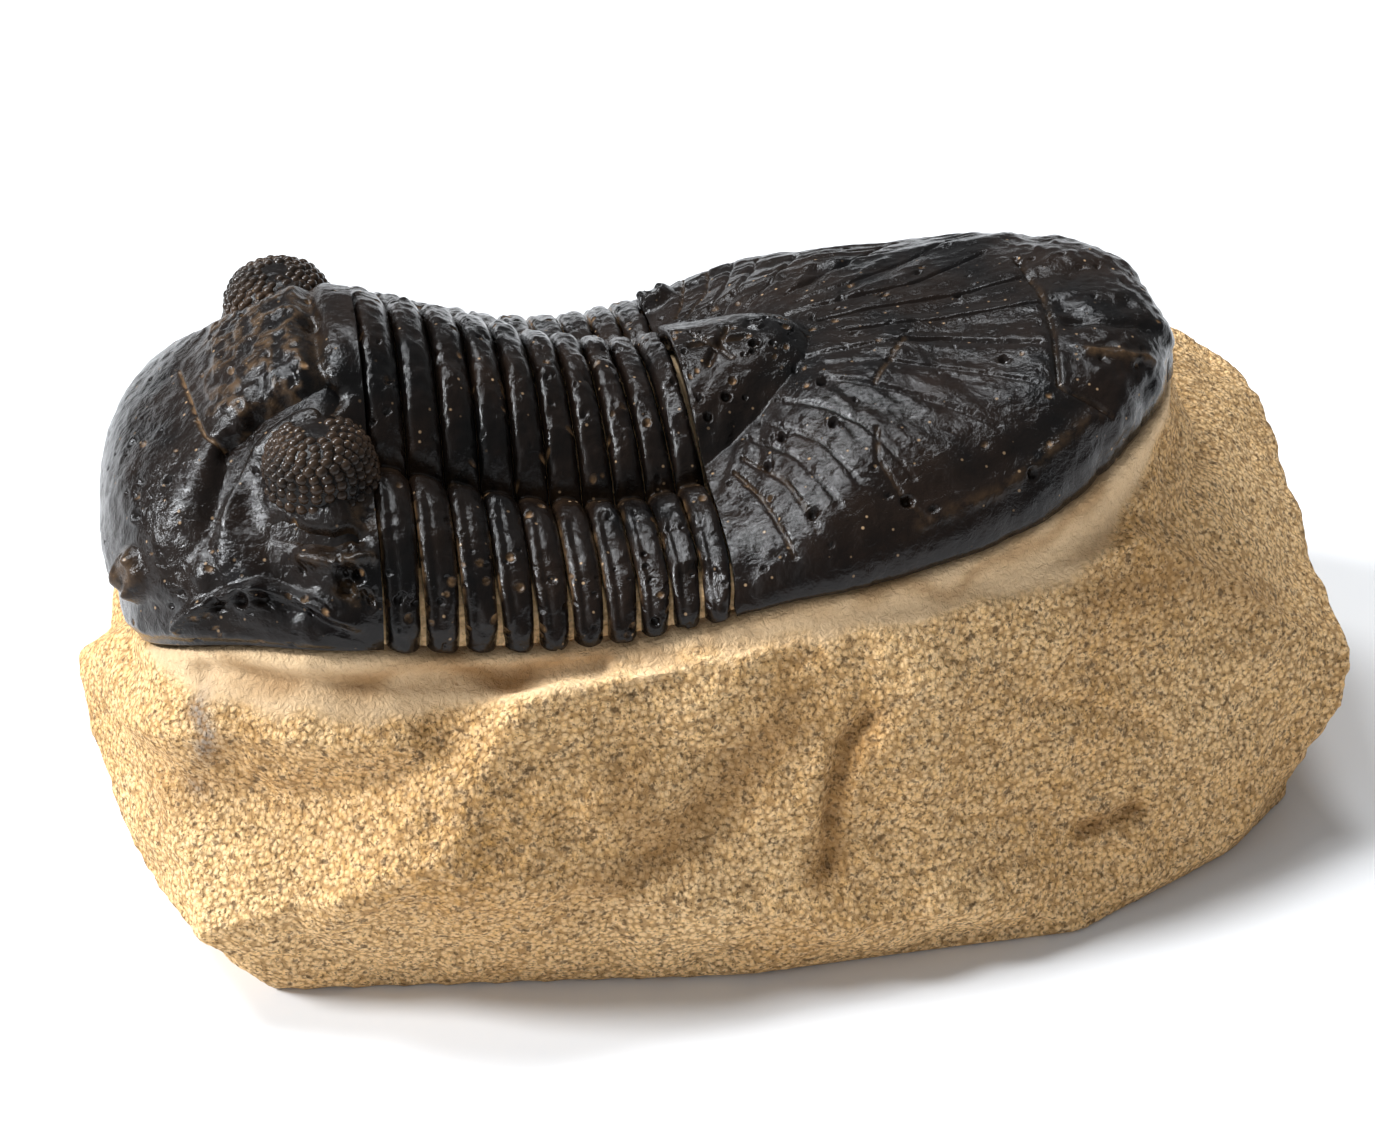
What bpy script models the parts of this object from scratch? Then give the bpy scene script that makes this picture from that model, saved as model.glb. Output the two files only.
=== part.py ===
"""Fossil trilobite on its block of limestone, built piece by piece as the animal grew.

The head shield, ten body segments and the tail shield are separate curved plates. They lie over
a raised core of the block, as the real shell does over the rock that filled it.
Sizes are in millimetres and become metres when a mesh is made. X runs from the head to the
tail, Y across the animal and Z up from the surface that the block stands on.
"""

import math

import bmesh
import bpy
import numpy as np
from mathutils import Vector

MM = 0.001

# Clearance between neighbouring solids, and thickness of the fossil shell
GAP = 0.3
SHELL = 1.5
CORE_INSET = SHELL + GAP + 0.1

# Moves the working axes, which start near the front of the tail shield, to the block's middle
SHIFT_X = -1.283
SHIFT_Y = 1.498

# Side edges of the animal, and the height at which lengths along it are measured
HALF_WIDTH = 22.0
FURROW_HEIGHT = 34.0
SEGMENT_COUNT = 10
# Share of the body length that the first and the last segment take
FIRST_SHARE = 1.14
LAST_SHARE = 0.90

# Middle line of the back: distance along the animal and height
CREST = ((-26, 44.5), (-22, 42.9), (-17.5, 41.3), (-12, 39.4), (-7, 38.0), (-3.5, 37.2), (0, 37.8))
# Lower edge of the shell on either side
MARGIN = (
    (-26, 29.4), (-19, 28.2), (-10, 27.8), (-4, 28.2), (3, 29.6), (12, 30.3), (20, 31.2),
    (28, 32.8), (33, 34.2), (39, 35.0),
)
# Height of the furrow beside the axis, half-width of the axis, and arc that its arch spans
FURROW = ((-26, 37.8), (-22.7, 36.9), (-16.4, 34.4), (-9, 32.4), (-3, 32.6), (2, 33.6))
AXIS_HALF_WIDTH = ((-26, 10.4), (-16, 10.3), (-8, 10.0), (2, 9.4))
AXIS_ARC = math.radians(76)
# Roundness of the ribs' fall to the side, and rise of their inner part above the furrow
RIB_POWER = 2.5
RIB_RISE = 0.6
# Lean of the cross-sections, as run over rise, and sweep of the rib tips
LEAN = ((-26, 0.06), (-14, 0.04), (-4, -0.06), (2, -0.12))
SWEEP = ((-25, 0.0), (-16, 0.1), (-8, -0.3), (-0.7, -0.6), (6, -0.6))
# Each segment is an arched band: depth of its edges, and width of a rib tip against its root
BAND_ARCH = 0.75
TIP_TAPER = 0.72

# Head shield: a visor that fans about the line between its two rear corners
VISOR_X = -25.5
VISOR_Z = 29.5
VISOR_REAR = 86.5
VISOR_RADIUS = (
    (86, 14.9), (99, 14.4), (116, 14.1), (135, 14.6), (152, 16.3), (165, 18.1), (182, 19.2),
    (203, 19.1),
)
VISOR_POWER = 2.4
HEAD_COLUMNS = 26
# Fan angle of the head's lower edge against the share of the half-width
VISOR_FRONT = ((0.0, 205.0), (0.3, 202.0), (0.6, 193.0), (0.85, 183.0), (1.0, 176.0))
# Fan angle where the rock inside the head ends, well down in the block
CORE_END = 290.0
# Half-width of the raised middle lobe of the head against the fan angle
LOBE_HALF_WIDTH = (
    (86, 10.4), (96, 8.6), (108, 7.4), (120, 7.8), (134, 9.6), (149, 12.8), (162, 14.6),
    (175, 16.0), (205, 17.0),
)
LOBE_FURROW = 1.3
CHEEK_DROP = 1.0

# Eyes: middle, half-sizes, boxiness and size of the coarse bumps that stand for their lenses
EYE_MIDDLE = (-29.8, 12.0, 37.2)
EYE_HALF = (4.3, 4.4, 4.3)
EYE_BOXINESS = 0.72
LENS_BUMP = 0.22

# Tail shield: front edge, plan and middle line, with the raised lobe that ends the axis
TAIL_FRONT_X = -0.7
TAIL_ROUND_X = 4.0
TAIL_LENGTH = 33.8
TAIL_CREST = (
    (-1, 33.6), (3, 35.6), (8, 38.2), (14, 39.1), (22, 39.8), (28, 40.6), (32, 40.9),
    (34.6, 40.5), (36.6, 39.0), (37.8, 36.0),
)
TAIL_POWER = ((4, 2.3), (18, 2.4), (30, 2.9), (37, 3.4))
TAIL_PLAN_POWER = 2.0
LOBE_END_X = 9.2
LOBE_RISE = 4.8
TAIL_RIB_COUNT = 18
TAIL_RIB_DEPTH = 0.4

# Block of limestone: middle, and its broken faces as bearing, tilt and distance
BLOCK_MIDDLE = (1.0, -2.0, 13.0)
BLOCK_FACES = (
    (139, 85.4, 12.9),
    (133.7, 48.1, 25.9),
    (180, 72, 20.2),
    (-86.6, 19.7, 25.2),
    (-74, 19.4, 26.9),
    (-91, -26, 29.1),
    (-126, 37.6, 30.6),
    (-98.5, -17.3, 28.9),
    (-150, -38, 41.3),
    (170, -29, 41.7),
    (-175, 35, 41.0),
    (-160.5, 9.8, 45.4),
    (9, -15.5, 44.8),
    (-21, 64, 28.4),
    (-27, 49.6, 33.9),
    (-51, -17.4, 41.8),
    (-66, -24, 36.2),
    (-70, 13.6, 29.8),
    (52, 8, 41),
    (90, 14, 27.5),
    (86, -22, 28.5),
    (131, 10, 40),
)
# Cleaned step of rock under the shell's edge: outward reach and drop of each of its rings
STEP_RINGS = ((0.15, 0.55), (0.4, 2.4), (1.2, 4.3), (2.6, 6.4))
STEP_CAP_INSET = 4.0
CORE_FOOT_Z = 14.0

SHELL_COLOR = (0.016, 0.013, 0.012, 1)
SHELL_ROUGHNESS = 0.34
ROCK_COLOR = (0.56, 0.41, 0.23, 1)
ROCK_ROUGHNESS = 0.9


def curve(points, x):
    """Smooth curve through a few points, read at x; beyond its ends it stays level."""
    xs = np.array([p[0] for p in points], float)
    ys = np.array([p[1] for p in points], float)
    x = np.clip(np.asarray(x, float), xs[0], xs[-1])
    chord = np.diff(ys) / np.diff(xs)
    slope = np.concatenate(([chord[0]], (chord[:-1] + chord[1:]) / 2, [chord[-1]]))
    i = np.clip(np.searchsorted(xs, x, side="right") - 1, 0, len(xs) - 2)
    step = xs[i + 1] - xs[i]
    u = (x - xs[i]) / step
    return (
        ys[i] * (1 + 2 * u) * (1 - u) ** 2
        + ys[i + 1] * u * u * (3 - 2 * u)
        + step * (slope[i] * u * (1 - u) ** 2 - slope[i + 1] * u * u * (1 - u))
    )


def ease(low, high, x):
    """Smooth step from 0 at low to 1 at high."""
    u = np.clip((np.asarray(x, float) - low) / (high - low), 0, 1)
    return u * u * (3 - 2 * u)


def arch(share, power):
    """Height of a rounded arch, 1 in the middle and 0 where the share of its half-width is 1."""
    return np.sqrt(np.clip(1 - np.clip(np.abs(share), 0, 1) ** power, 0, 1))


# Body segments


def body_height(s, y, inset=0.0):
    """Height of the back over the cross-section at s: the arched axis, then the falling ribs."""
    crest = curve(CREST, s) - inset
    furrow = curve(FURROW, s) - inset
    margin = curve(MARGIN, s)
    half = HALF_WIDTH - inset
    axis = curve(AXIS_HALF_WIDTH, s)
    away = np.abs(y)
    lift = np.cos(np.arcsin(np.clip(away / axis, 0, 1) * math.sin(AXIS_ARC)))
    level = math.cos(AXIS_ARC)
    inner = furrow + (crest - furrow) * (lift - level) / (1 - level)
    out = np.clip((away - axis) / (half - axis), 0, 1)
    fall = (1 - out**RIB_POWER) ** (1 / RIB_POWER)
    outer = margin + (furrow - margin) * fall + RIB_RISE * np.sin(np.pi * np.sqrt(out)) ** 2
    return np.where(away < axis, inner, outer)


def body_across(s, v, inset=0.0):
    """Sideways place for v from -1 to 1, with close spacing where the surface is steep."""
    axis = curve(AXIS_HALF_WIDTH, s)
    half = HALF_WIDTH - inset
    split = 5 / 12
    share = np.abs(v)
    on_axis = axis * np.sin(share / split * AXIS_ARC) / math.sin(AXIS_ARC)
    turn = np.clip((share - split) / (1 - split), 0, 1) * np.pi / 2
    on_rib = axis + (half - axis) * np.sin(turn) ** (2 / RIB_POWER)
    return np.sign(v) * np.where(share <= split, on_axis, on_rib)


def body_point(s, v, inset=0.0, lift=0.0, middle=None):
    """Point of the back at station s; a segment's edges close in on its middle at the tips."""
    y = body_across(s, v, inset)
    z = body_height(s, y, inset)
    tip = ease(0.55, 1.0, np.abs(v))
    along = s if middle is None else middle + (s - middle) * (1 - (1 - TIP_TAPER) * tip)
    x = along + curve(LEAN, s) * (z - FURROW_HEIGHT) + curve(SWEEP, s) * tip**2
    side = np.clip(np.abs(y) / HALF_WIDTH, 0, 1) ** 3
    return np.stack([x, y + lift * side * np.sign(v), z + lift * (1 - side)], -1)


def stations():
    """Borders between the body segments, from the head to the tail."""
    start = VISOR_X + (FURROW_HEIGHT - VISOR_Z) / math.tan(math.radians(VISOR_REAR)) + GAP / 2
    share = np.linspace(FIRST_SHARE, LAST_SHARE, SEGMENT_COUNT)
    step = np.concatenate(([0.0], np.cumsum(share) / share.sum()))
    return start + (TAIL_FRONT_X - start) * step


# Head shield


def head_radius(angle, y, inset=0.0, relief=True):
    """Distance of the head's surface from the visor line at a fan angle in degrees."""
    half = HALF_WIDTH - inset
    dome = (curve(VISOR_RADIUS, angle) - inset) * arch(y / half, VISOR_POWER)
    if relief:
        edge = np.abs(y) - curve(LOBE_HALF_WIDTH, angle)
        groove = np.exp(-((edge / 1.3) ** 2)) * ease(180, 150, angle)
        near_edge = ease(1.0, 0.86, np.abs(y) / half)
        dome = dome - (LOBE_FURROW * groove + CHEEK_DROP * ease(0, 3.5, edge)) * near_edge
    rear = body_height(stations()[0], y, inset) - VISOR_Z
    blend = ease(VISOR_REAR, VISOR_REAR + 17, angle)
    return np.clip(rear * (1 - blend) + dome * blend, 0, None) * (np.abs(y) < half - 1e-6)


def head_point(angle, y, inset=0.0, relief=True):
    """Point of the head's surface at a fan angle and a sideways place."""
    radius = head_radius(angle, y, inset, relief)
    turn = np.radians(angle)
    return np.stack([VISOR_X + radius * np.cos(turn), y, VISOR_Z + radius * np.sin(turn)], -1)


def head_front(y):
    """Fan angle of the head's lower edge."""
    return curve(VISOR_FRONT, np.abs(y) / HALF_WIDTH)


def head_columns(half):
    """Sideways places of the head's columns, closer together near its corners."""
    even = np.linspace(-1, 1, HEAD_COLUMNS + 1)
    return half * (0.6 * np.sin(even * np.pi / 2) + 0.4 * even)


# Tail shield


def tail_half_width(x, inset=0.0):
    """Half-width of the tail shield in plan."""
    share = np.clip((x - TAIL_ROUND_X) / (TAIL_LENGTH - inset), 0, 1)
    return (HALF_WIDTH - inset) * (1 - share**TAIL_PLAN_POWER) ** (1 / TAIL_PLAN_POWER)


def tail_height(x, y, inset=0.0, lobe=True):
    """Height of the tail shield, with the raised end of the axis at its front."""
    margin = curve(MARGIN, x)
    crest = np.maximum(curve(TAIL_CREST, x + inset * ease(20, 38, x)) - inset, margin)
    half = np.maximum(tail_half_width(x, inset), 1e-6)
    share = np.clip(np.abs(y) / half, 0, 1)
    power = curve(TAIL_POWER, x)
    height = margin + (crest - margin) * (1 - share**power) ** (1 / power)
    if lobe:
        taper = np.clip((LOBE_END_X - x) / (LOBE_END_X - TAIL_FRONT_X), 0, 1)
        width = np.maximum(curve(AXIS_HALF_WIDTH, TAIL_FRONT_X) * np.sqrt(taper), 1e-6)
        height = height + LOBE_RISE * taper * arch(y / width, 2.0) ** 1.3
    return height


def tail_outline(inset=0.0):
    """Plan of the tail shield, anticlockwise from its rear point, one column each."""
    arc = np.radians(np.linspace(0, 90, TAIL_RIB_COUNT + 1))
    reach = TAIL_LENGTH - inset
    half = HALF_WIDTH - inset
    bend = 2 / TAIL_PLAN_POWER
    rear = [(TAIL_ROUND_X + reach * math.cos(a) ** bend, half * math.sin(a) ** bend) for a in arc]
    v = np.linspace(1, -1, 25)
    across = body_across(TAIL_FRONT_X, v, inset)
    height = body_height(TAIL_FRONT_X, across, inset)
    tip = ease(0.55, 1.0, np.abs(v)) ** 2
    ahead = TAIL_FRONT_X + GAP / 2 + curve(LEAN, TAIL_FRONT_X) * (height - FURROW_HEIGHT)
    ahead = ahead + curve(SWEEP, TAIL_FRONT_X) * tip
    front = list(zip(ahead, across))
    near = [(x, -y) for x, y in reversed(rear[1:])]
    return np.array(rear + front + near)


def tail_grid(rings, inset=0.0, lobe=True, ribs=0.0):
    """Rows of points from the tail's outline to a spot under the tip of the axis lobe."""
    outline = tail_outline(inset)
    centre = np.array([LOBE_END_X - 1.0, 0.0])
    rows = []
    for ring in rings:
        plan = centre + (outline - centre) * ring
        z = tail_height(plan[:, 0], plan[:, 1], inset, lobe)
        column = np.arange(len(outline))
        on_fan = (column <= TAIL_RIB_COUNT) | (column >= len(outline) - TAIL_RIB_COUNT)
        crease = on_fan & (column % 2 == 1)
        z = z - ribs * crease * ease(0.12, 0.3, ring) * ease(1.0, 0.9, ring)
        rows.append(np.column_stack([plan, z]))
    return rows, np.array([centre[0], 0.0, float(tail_height(centre[0], 0.0, inset, lobe))])


# Meshes


class Builder:
    """Collects the points and faces of one closed solid, in millimetres."""

    def __init__(self):
        self.points = []
        self.faces = []

    def add(self, points):
        """Add points and return their indices."""
        first = len(self.points)
        self.points.extend(np.asarray(points, float).reshape(-1, 3).tolist())
        return list(range(first, len(self.points)))

    def sheet(self, rows, closed=False):
        """Join rows of indices of equal length with faces."""
        for low, high in zip(rows, rows[1:]):
            count = len(low) if closed else len(low) - 1
            for i in range(count):
                j = (i + 1) % len(low)
                self.faces.append((low[i], low[j], high[j], high[i]))

    def strip(self, a, b):
        """Join two lines of indices that run side by side and may differ in length."""
        i = j = 0
        while i < len(a) - 1 or j < len(b) - 1:
            if j == len(b) - 1 or (i < len(a) - 1 and (i + 1) * (len(b) - 1) <= (j + 1) * (len(a) - 1)):
                self.faces.append((a[i], a[i + 1], b[j]))
                i += 1
            else:
                self.faces.append((a[i], b[j + 1], b[j]))
                j += 1

    def fan(self, line, tip, closed=False):
        """Join a line of indices to one point."""
        ends = line[1:] + (line[:1] if closed else [])
        for a, b in zip(line, ends):
            self.faces.append((a, b, tip))

    def finish(self, name, material=None):
        """Make the object: merge equal points, drop collapsed faces, turn all faces outwards."""
        shift = np.array([SHIFT_X, SHIFT_Y, 0.0])
        mesh = bpy.data.meshes.new(name)
        bm = bmesh.new()
        corners = [bm.verts.new(Vector((np.array(p) + shift) * MM)) for p in self.points]
        for face in self.faces:
            loop = [corners[i] for i in dict.fromkeys(face)]
            if len(loop) > 2:
                bm.faces.new(loop)
        bmesh.ops.remove_doubles(bm, verts=bm.verts, dist=0.002 * MM)
        bmesh.ops.dissolve_degenerate(bm, edges=bm.edges, dist=0.001 * MM)
        bmesh.ops.triangulate(bm, faces=bm.faces)
        bmesh.ops.recalc_face_normals(bm, faces=bm.faces)
        bm.to_mesh(mesh)
        bm.free()
        obj = bpy.data.objects.new(name, mesh)
        bpy.context.collection.objects.link(obj)
        if material is not None:
            mesh.materials.append(material)
        return obj


def combine(target, cutter, operation):
    """Apply an exact Boolean of the cutter to the target, then remove the cutter."""
    cutter.hide_render = True
    cutter.display_type = "WIRE"
    modifier = target.modifiers.new(operation.title(), "BOOLEAN")
    modifier.operation = operation
    modifier.solver = "EXACT"
    modifier.object = cutter
    graph = bpy.context.evaluated_depsgraph_get()
    graph.update()
    mesh = bpy.data.meshes.new_from_object(target.evaluated_get(graph))
    target.modifiers.remove(modifier)
    old = target.data
    target.data = mesh
    mesh.name = target.name
    bpy.data.meshes.remove(old)
    bpy.data.objects.remove(cutter)


def make_material(name, color, roughness):
    """Principled material of one plain colour."""
    material = bpy.data.materials.new(name)
    material.use_nodes = True
    shader = material.node_tree.nodes["Principled BSDF"]
    shader.inputs["Base Color"].default_value = color
    shader.inputs["Roughness"].default_value = roughness
    shader.inputs["Metallic"].default_value = 0.0
    return material


def build_segment(number, front, rear):
    """One body segment: an arched band over the back that narrows to a tip on each side."""
    v = np.linspace(-1, 1, 25)
    middle = (front + rear) / 2
    low, high = front + GAP / 2, rear - GAP / 2
    solid = Builder()
    outer = []
    for share, drop in ((0, BAND_ARCH), (0.3, 0), (0.7, 0), (1, BAND_ARCH)):
        s = low + (high - low) * share
        outer.append(solid.add(body_point(s, v, 0.0, -drop, middle)))
    inner = [solid.add(body_point(s, v, SHELL, 0.0, middle)) for s in (low, high)]
    solid.sheet(outer)
    solid.sheet(inner)
    solid.strip(outer[0], inner[0])
    solid.strip(outer[-1], inner[-1])
    for end in (0, -1):
        solid.strip([row[end] for row in outer], [row[end] for row in inner])
    name = f"thorax_segment_{number:02d}"
    return solid.finish(name, make_material(name, SHELL_COLOR, SHELL_ROUGHNESS))


def head_wedge(name, rows, inset=0.0, relief=True, start=VISOR_REAR, end=None, material=None):
    """Closed wedge from the visor line out to the head's surface."""
    y = head_columns(HALF_WIDTH - inset)
    solid = Builder()
    grid = []
    for share in np.linspace(0, 1, rows + 1):
        last = head_front(y) if end is None else end
        grid.append(solid.add(head_point(start + (last - start) * share, y, inset, relief)))
    line = solid.add([(VISOR_X, place, VISOR_Z) for place in y])
    solid.sheet(grid)
    solid.strip(grid[0], line)
    solid.strip(grid[-1], line)
    return solid.finish(name, material)


def eye_turret(side, material):
    """Eye with steep walls and rows of bumps on its outward face."""
    around, up = 22, 7
    solid = Builder()
    rings = []
    for row in range(up):
        rise = math.radians(-62 + 132 * row / (up - 1))
        ring = []
        for step in range(around):
            turn = 2 * math.pi * (step + 0.5 * (row % 2)) / around
            flat = abs(math.cos(rise)) ** EYE_BOXINESS
            tall = math.copysign(abs(math.sin(rise)) ** EYE_BOXINESS, rise)
            outward = math.sin(turn) > -0.35 and 1 <= row <= 4
            grow = LENS_BUMP * (1 if (step + row // 2) % 2 else -0.4) if outward else 0.0
            x = (EYE_HALF[0] + grow) * flat * math.cos(turn)
            y = (EYE_HALF[1] + grow) * flat * math.sin(turn)
            ring.append((EYE_MIDDLE[0] + x, side * (EYE_MIDDLE[1] + y), EYE_MIDDLE[2] + EYE_HALF[2] * tall))
        rings.append(solid.add(ring))
    solid.sheet(rings, closed=True)
    for ring, height in ((rings[0], -1), (rings[-1], 1)):
        tip = solid.add([(EYE_MIDDLE[0], side * EYE_MIDDLE[1], EYE_MIDDLE[2] + height * EYE_HALF[2])])
        solid.fan(ring, tip[0], closed=True)
    return solid.finish(f"eye_{'near' if side < 0 else 'far'}", material)


def build_head():
    """Head shield with its two eyes, hollowed from below to the thickness of the shell."""
    material = make_material("cephalon", SHELL_COLOR, SHELL_ROUGHNESS)
    head = head_wedge("cephalon", 18, material=material)
    for side in (-1, 1):
        combine(head, eye_turret(side, material), "UNION")
    hollow = head_wedge("hollow", 16, SHELL, relief=False, start=VISOR_REAR - 14, end=CORE_END)
    combine(head, hollow, "DIFFERENCE")
    return head


def build_tail():
    """Tail shield: a dished plate with ribs that fan out from the end of the axis."""
    solid = Builder()
    rings = (1.0, 0.985, 0.95, 0.88, 0.77, 0.62, 0.46, 0.3, 0.14)
    outer, top = tail_grid(rings, ribs=TAIL_RIB_DEPTH)
    inner, under = tail_grid((1.0, 0.93, 0.75, 0.45), SHELL, lobe=True)
    rows = [solid.add(row) for row in outer]
    below = [solid.add(row) for row in inner]
    solid.sheet(rows, closed=True)
    solid.sheet(below, closed=True)
    solid.fan(rows[-1], solid.add([top])[0], closed=True)
    solid.fan(below[-1], solid.add([under])[0], closed=True)
    solid.sheet([rows[0], below[0]], closed=True)
    return solid.finish("pygidium", make_material("pygidium", SHELL_COLOR, SHELL_ROUGHNESS))


def body_core():
    """Rock under the body segments, from just inside the head to just inside the tail."""
    border = stations()
    v = np.linspace(-1, 1, 25)
    start, end = border[0] - GAP / 2, border[-1]
    rows = [(start - 1.0, CORE_INSET + 1.0), (start, CORE_INSET)]
    rows += [(s, CORE_INSET) for s in border[1:]]
    rows += [(end + 1.0, CORE_INSET + 1.2)]
    solid = Builder()
    loops = []
    for s, inset in rows:
        line = body_point(s, v, inset)
        foot = line[[-1, 0]].copy()
        foot[:, 2] = CORE_FOOT_Z
        loops.append(solid.add(np.vstack([line, foot])))
    solid.sheet(loops, closed=True)
    for loop, (s, _) in ((loops[0], rows[0]), (loops[-1], rows[-1])):
        solid.fan(loop, solid.add([(s, 0.0, 22.0)])[0], closed=True)
    return solid.finish("body core")


def tail_core():
    """Rock under the tail shield."""
    solid = Builder()
    rings, top = tail_grid((1.0, 0.93, 0.75, 0.45), CORE_INSET, lobe=True)
    rows = [solid.add(row) for row in rings]
    foot = rings[0].copy()
    foot[:, 2] = CORE_FOOT_Z
    base = solid.add(foot)
    solid.sheet([base] + rows, closed=True)
    solid.fan(rows[-1], solid.add([top])[0], closed=True)
    solid.fan(base, solid.add([(LOBE_END_X, 0.0, CORE_FOOT_Z)])[0], closed=True)
    return solid.finish("tail core")


def animal_outline():
    """Lower edge of the whole shell, anticlockwise from the rear of the tail."""
    tail = tail_outline()
    count = TAIL_RIB_COUNT + 1
    rear = [(x, y, float(curve(MARGIN, x))) for x, y in tail[:count]]
    sides = [(s, HALF_WIDTH, float(curve(MARGIN, s))) for s in stations()[-2:0:-2]]
    y = head_columns(HALF_WIDTH)[: HEAD_COLUMNS // 2 - 1 : -1]
    head = [tuple(head_point(head_front(place), place)) for place in y]
    head[0] = (VISOR_X, HALF_WIDTH, VISOR_Z)
    half = rear + sides + head
    return np.array(half + [(px, -py, pz) for px, py, pz in half[-2:0:-1]])


def rock_step():
    """Cleaned step of rock that carries the animal and flares out into the block."""
    line = animal_outline()
    ahead = np.roll(line, -1, axis=0) - np.roll(line, 1, axis=0)
    away = np.column_stack([ahead[:, 1], -ahead[:, 0], np.zeros(len(line))])
    away /= np.linalg.norm(away, axis=1)[:, None]
    solid = Builder()
    cap = line - away * STEP_CAP_INSET
    cap[:, 2] = line[:, 2] - STEP_RINGS[0][1]
    loops = [solid.add(cap)]
    for reach, drop in STEP_RINGS:
        loops.append(solid.add(line + away * reach - np.array([0.0, 0.0, drop])))
    foot = line.copy()
    foot[:, 2] = CORE_FOOT_Z - 1.0
    loops.append(solid.add(foot))
    solid.sheet(loops, closed=True)
    solid.fan(loops[0], solid.add([(0.0, 0.0, 25.0)])[0], closed=True)
    solid.fan(loops[-1], solid.add([(0.0, 0.0, CORE_FOOT_Z - 1.0)])[0], closed=True)
    return solid.finish("rock step")


def build_matrix():
    """Block of limestone: a cube cut by its broken faces, joined with the core of the fossil."""
    material = make_material("matrix", ROCK_COLOR, ROCK_ROUGHNESS)
    shift = Vector((SHIFT_X, SHIFT_Y, 0.0))
    middle = Vector(BLOCK_MIDDLE) + shift
    bm = bmesh.new()
    bmesh.ops.create_cube(bm, size=300 * MM)
    cuts = [(Vector((0.0, 0.0, 0.0)), Vector((0.0, 0.0, -1.0)))]
    for bearing, tilt, reach in BLOCK_FACES:
        b, t = math.radians(bearing), math.radians(tilt)
        normal = Vector((math.cos(t) * math.cos(b), math.cos(t) * math.sin(b), math.sin(t)))
        cuts.append((middle + normal * reach, normal))
    for point, normal in cuts:
        geometry = bm.verts[:] + bm.edges[:] + bm.faces[:]
        bmesh.ops.bisect_plane(
            bm, geom=geometry, plane_co=point * MM, plane_no=normal, clear_outer=True, dist=1e-7
        )
        rim = [edge for edge in bm.edges if edge.is_boundary]
        if rim:
            bmesh.ops.contextual_create(bm, geom=rim)
    bmesh.ops.recalc_face_normals(bm, faces=bm.faces)
    mesh = bpy.data.meshes.new("matrix")
    bm.to_mesh(mesh)
    bm.free()
    mesh.materials.append(material)
    block = bpy.data.objects.new("matrix", mesh)
    bpy.context.collection.objects.link(block)
    combine(block, rock_step(), "UNION")
    combine(block, body_core(), "UNION")
    combine(block, tail_core(), "UNION")
    core = head_wedge("head core", 15, CORE_INSET, relief=False, end=CORE_END)
    combine(block, core, "UNION")
    return block


def main():
    """Clear the scene and build every piece."""
    for old in list(bpy.data.objects):
        bpy.data.objects.remove(old)
    build_matrix()
    build_head()
    border = stations()
    for number in range(SEGMENT_COUNT):
        build_segment(number + 1, border[number], border[number + 1])
    build_tail()


main()
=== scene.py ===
"""Looks of a fossil trilobite on its block of limestone.

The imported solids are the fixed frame. Each shield, band and eye of the animal is rebuilt here as
a fine mesh over the same measured curves, and the block is weathered from its own solid. Lengths
are millimetres until a mesh is made.
"""

import logging
import math
from dataclasses import dataclass
from enum import Enum
from functools import cache
from typing import Callable, Optional

import bmesh
import bpy
import numpy as np
from bpy.types import ID, Material, Mesh, Node, NodeOutputs, NodeSocket, NodeTree, Object
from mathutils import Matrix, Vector


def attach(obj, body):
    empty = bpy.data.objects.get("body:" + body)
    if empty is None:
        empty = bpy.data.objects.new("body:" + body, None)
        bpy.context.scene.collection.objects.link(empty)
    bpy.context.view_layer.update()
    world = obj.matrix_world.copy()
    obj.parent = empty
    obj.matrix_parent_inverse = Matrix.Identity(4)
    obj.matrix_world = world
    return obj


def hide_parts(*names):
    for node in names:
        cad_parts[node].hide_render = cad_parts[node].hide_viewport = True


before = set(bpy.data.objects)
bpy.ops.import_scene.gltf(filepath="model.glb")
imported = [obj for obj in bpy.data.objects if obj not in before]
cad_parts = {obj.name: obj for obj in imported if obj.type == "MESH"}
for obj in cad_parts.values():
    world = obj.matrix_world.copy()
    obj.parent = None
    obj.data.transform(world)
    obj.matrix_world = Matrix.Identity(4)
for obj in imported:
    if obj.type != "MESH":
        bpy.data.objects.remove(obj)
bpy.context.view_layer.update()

LOG = logging.getLogger("trilobite")
Array = np.ndarray
Stations = tuple[tuple[float, float], ...]
Texture = tuple[tuple[float, float, int], ...]
Span = tuple[float, float]
Place = tuple[float, float, float]
Pitting = tuple[int, float, float]
Color = tuple[float, float, float, float]
Group = tuple[NodeTree, Node, Node]

MM = 0.001
ROOT = "root"
SHIFT = np.array([-1.283, 1.498, 0.0])
SHELL_THICKNESS = 1.5
SEAM = 0.06
TINY = 1e-9
NUMBER, COLOR = "NodeSocketFloat", "NodeSocketColor"


class Side(Enum):
    """Which flank of the animal a piece belongs to."""

    NEAR = -1
    FAR = 1


def curve(points: Stations, x: Array) -> Array:
    """Read a smooth curve through a few points.

    Args:
        points: Pairs of place and value, in rising order of place.
        x: Places to read; beyond the ends the curve stays level.

    Returns:
        The value at each place.
    """
    xs = np.array([p[0] for p in points], float)
    ys = np.array([p[1] for p in points], float)
    x = np.clip(np.asarray(x, float), xs[0], xs[-1])
    chord = np.diff(ys) / np.diff(xs)
    slope = np.concatenate(([chord[0]], (chord[:-1] + chord[1:]) / 2, [chord[-1]]))
    i = np.clip(np.searchsorted(xs, x, side="right") - 1, 0, len(xs) - 2)
    step = xs[i + 1] - xs[i]
    u = (x - xs[i]) / step
    return (
        ys[i] * (1 + 2 * u) * (1 - u) ** 2
        + ys[i + 1] * u * u * (3 - 2 * u)
        + step * (slope[i] * u * (1 - u) ** 2 - slope[i + 1] * u * u * (1 - u))
    )


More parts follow.
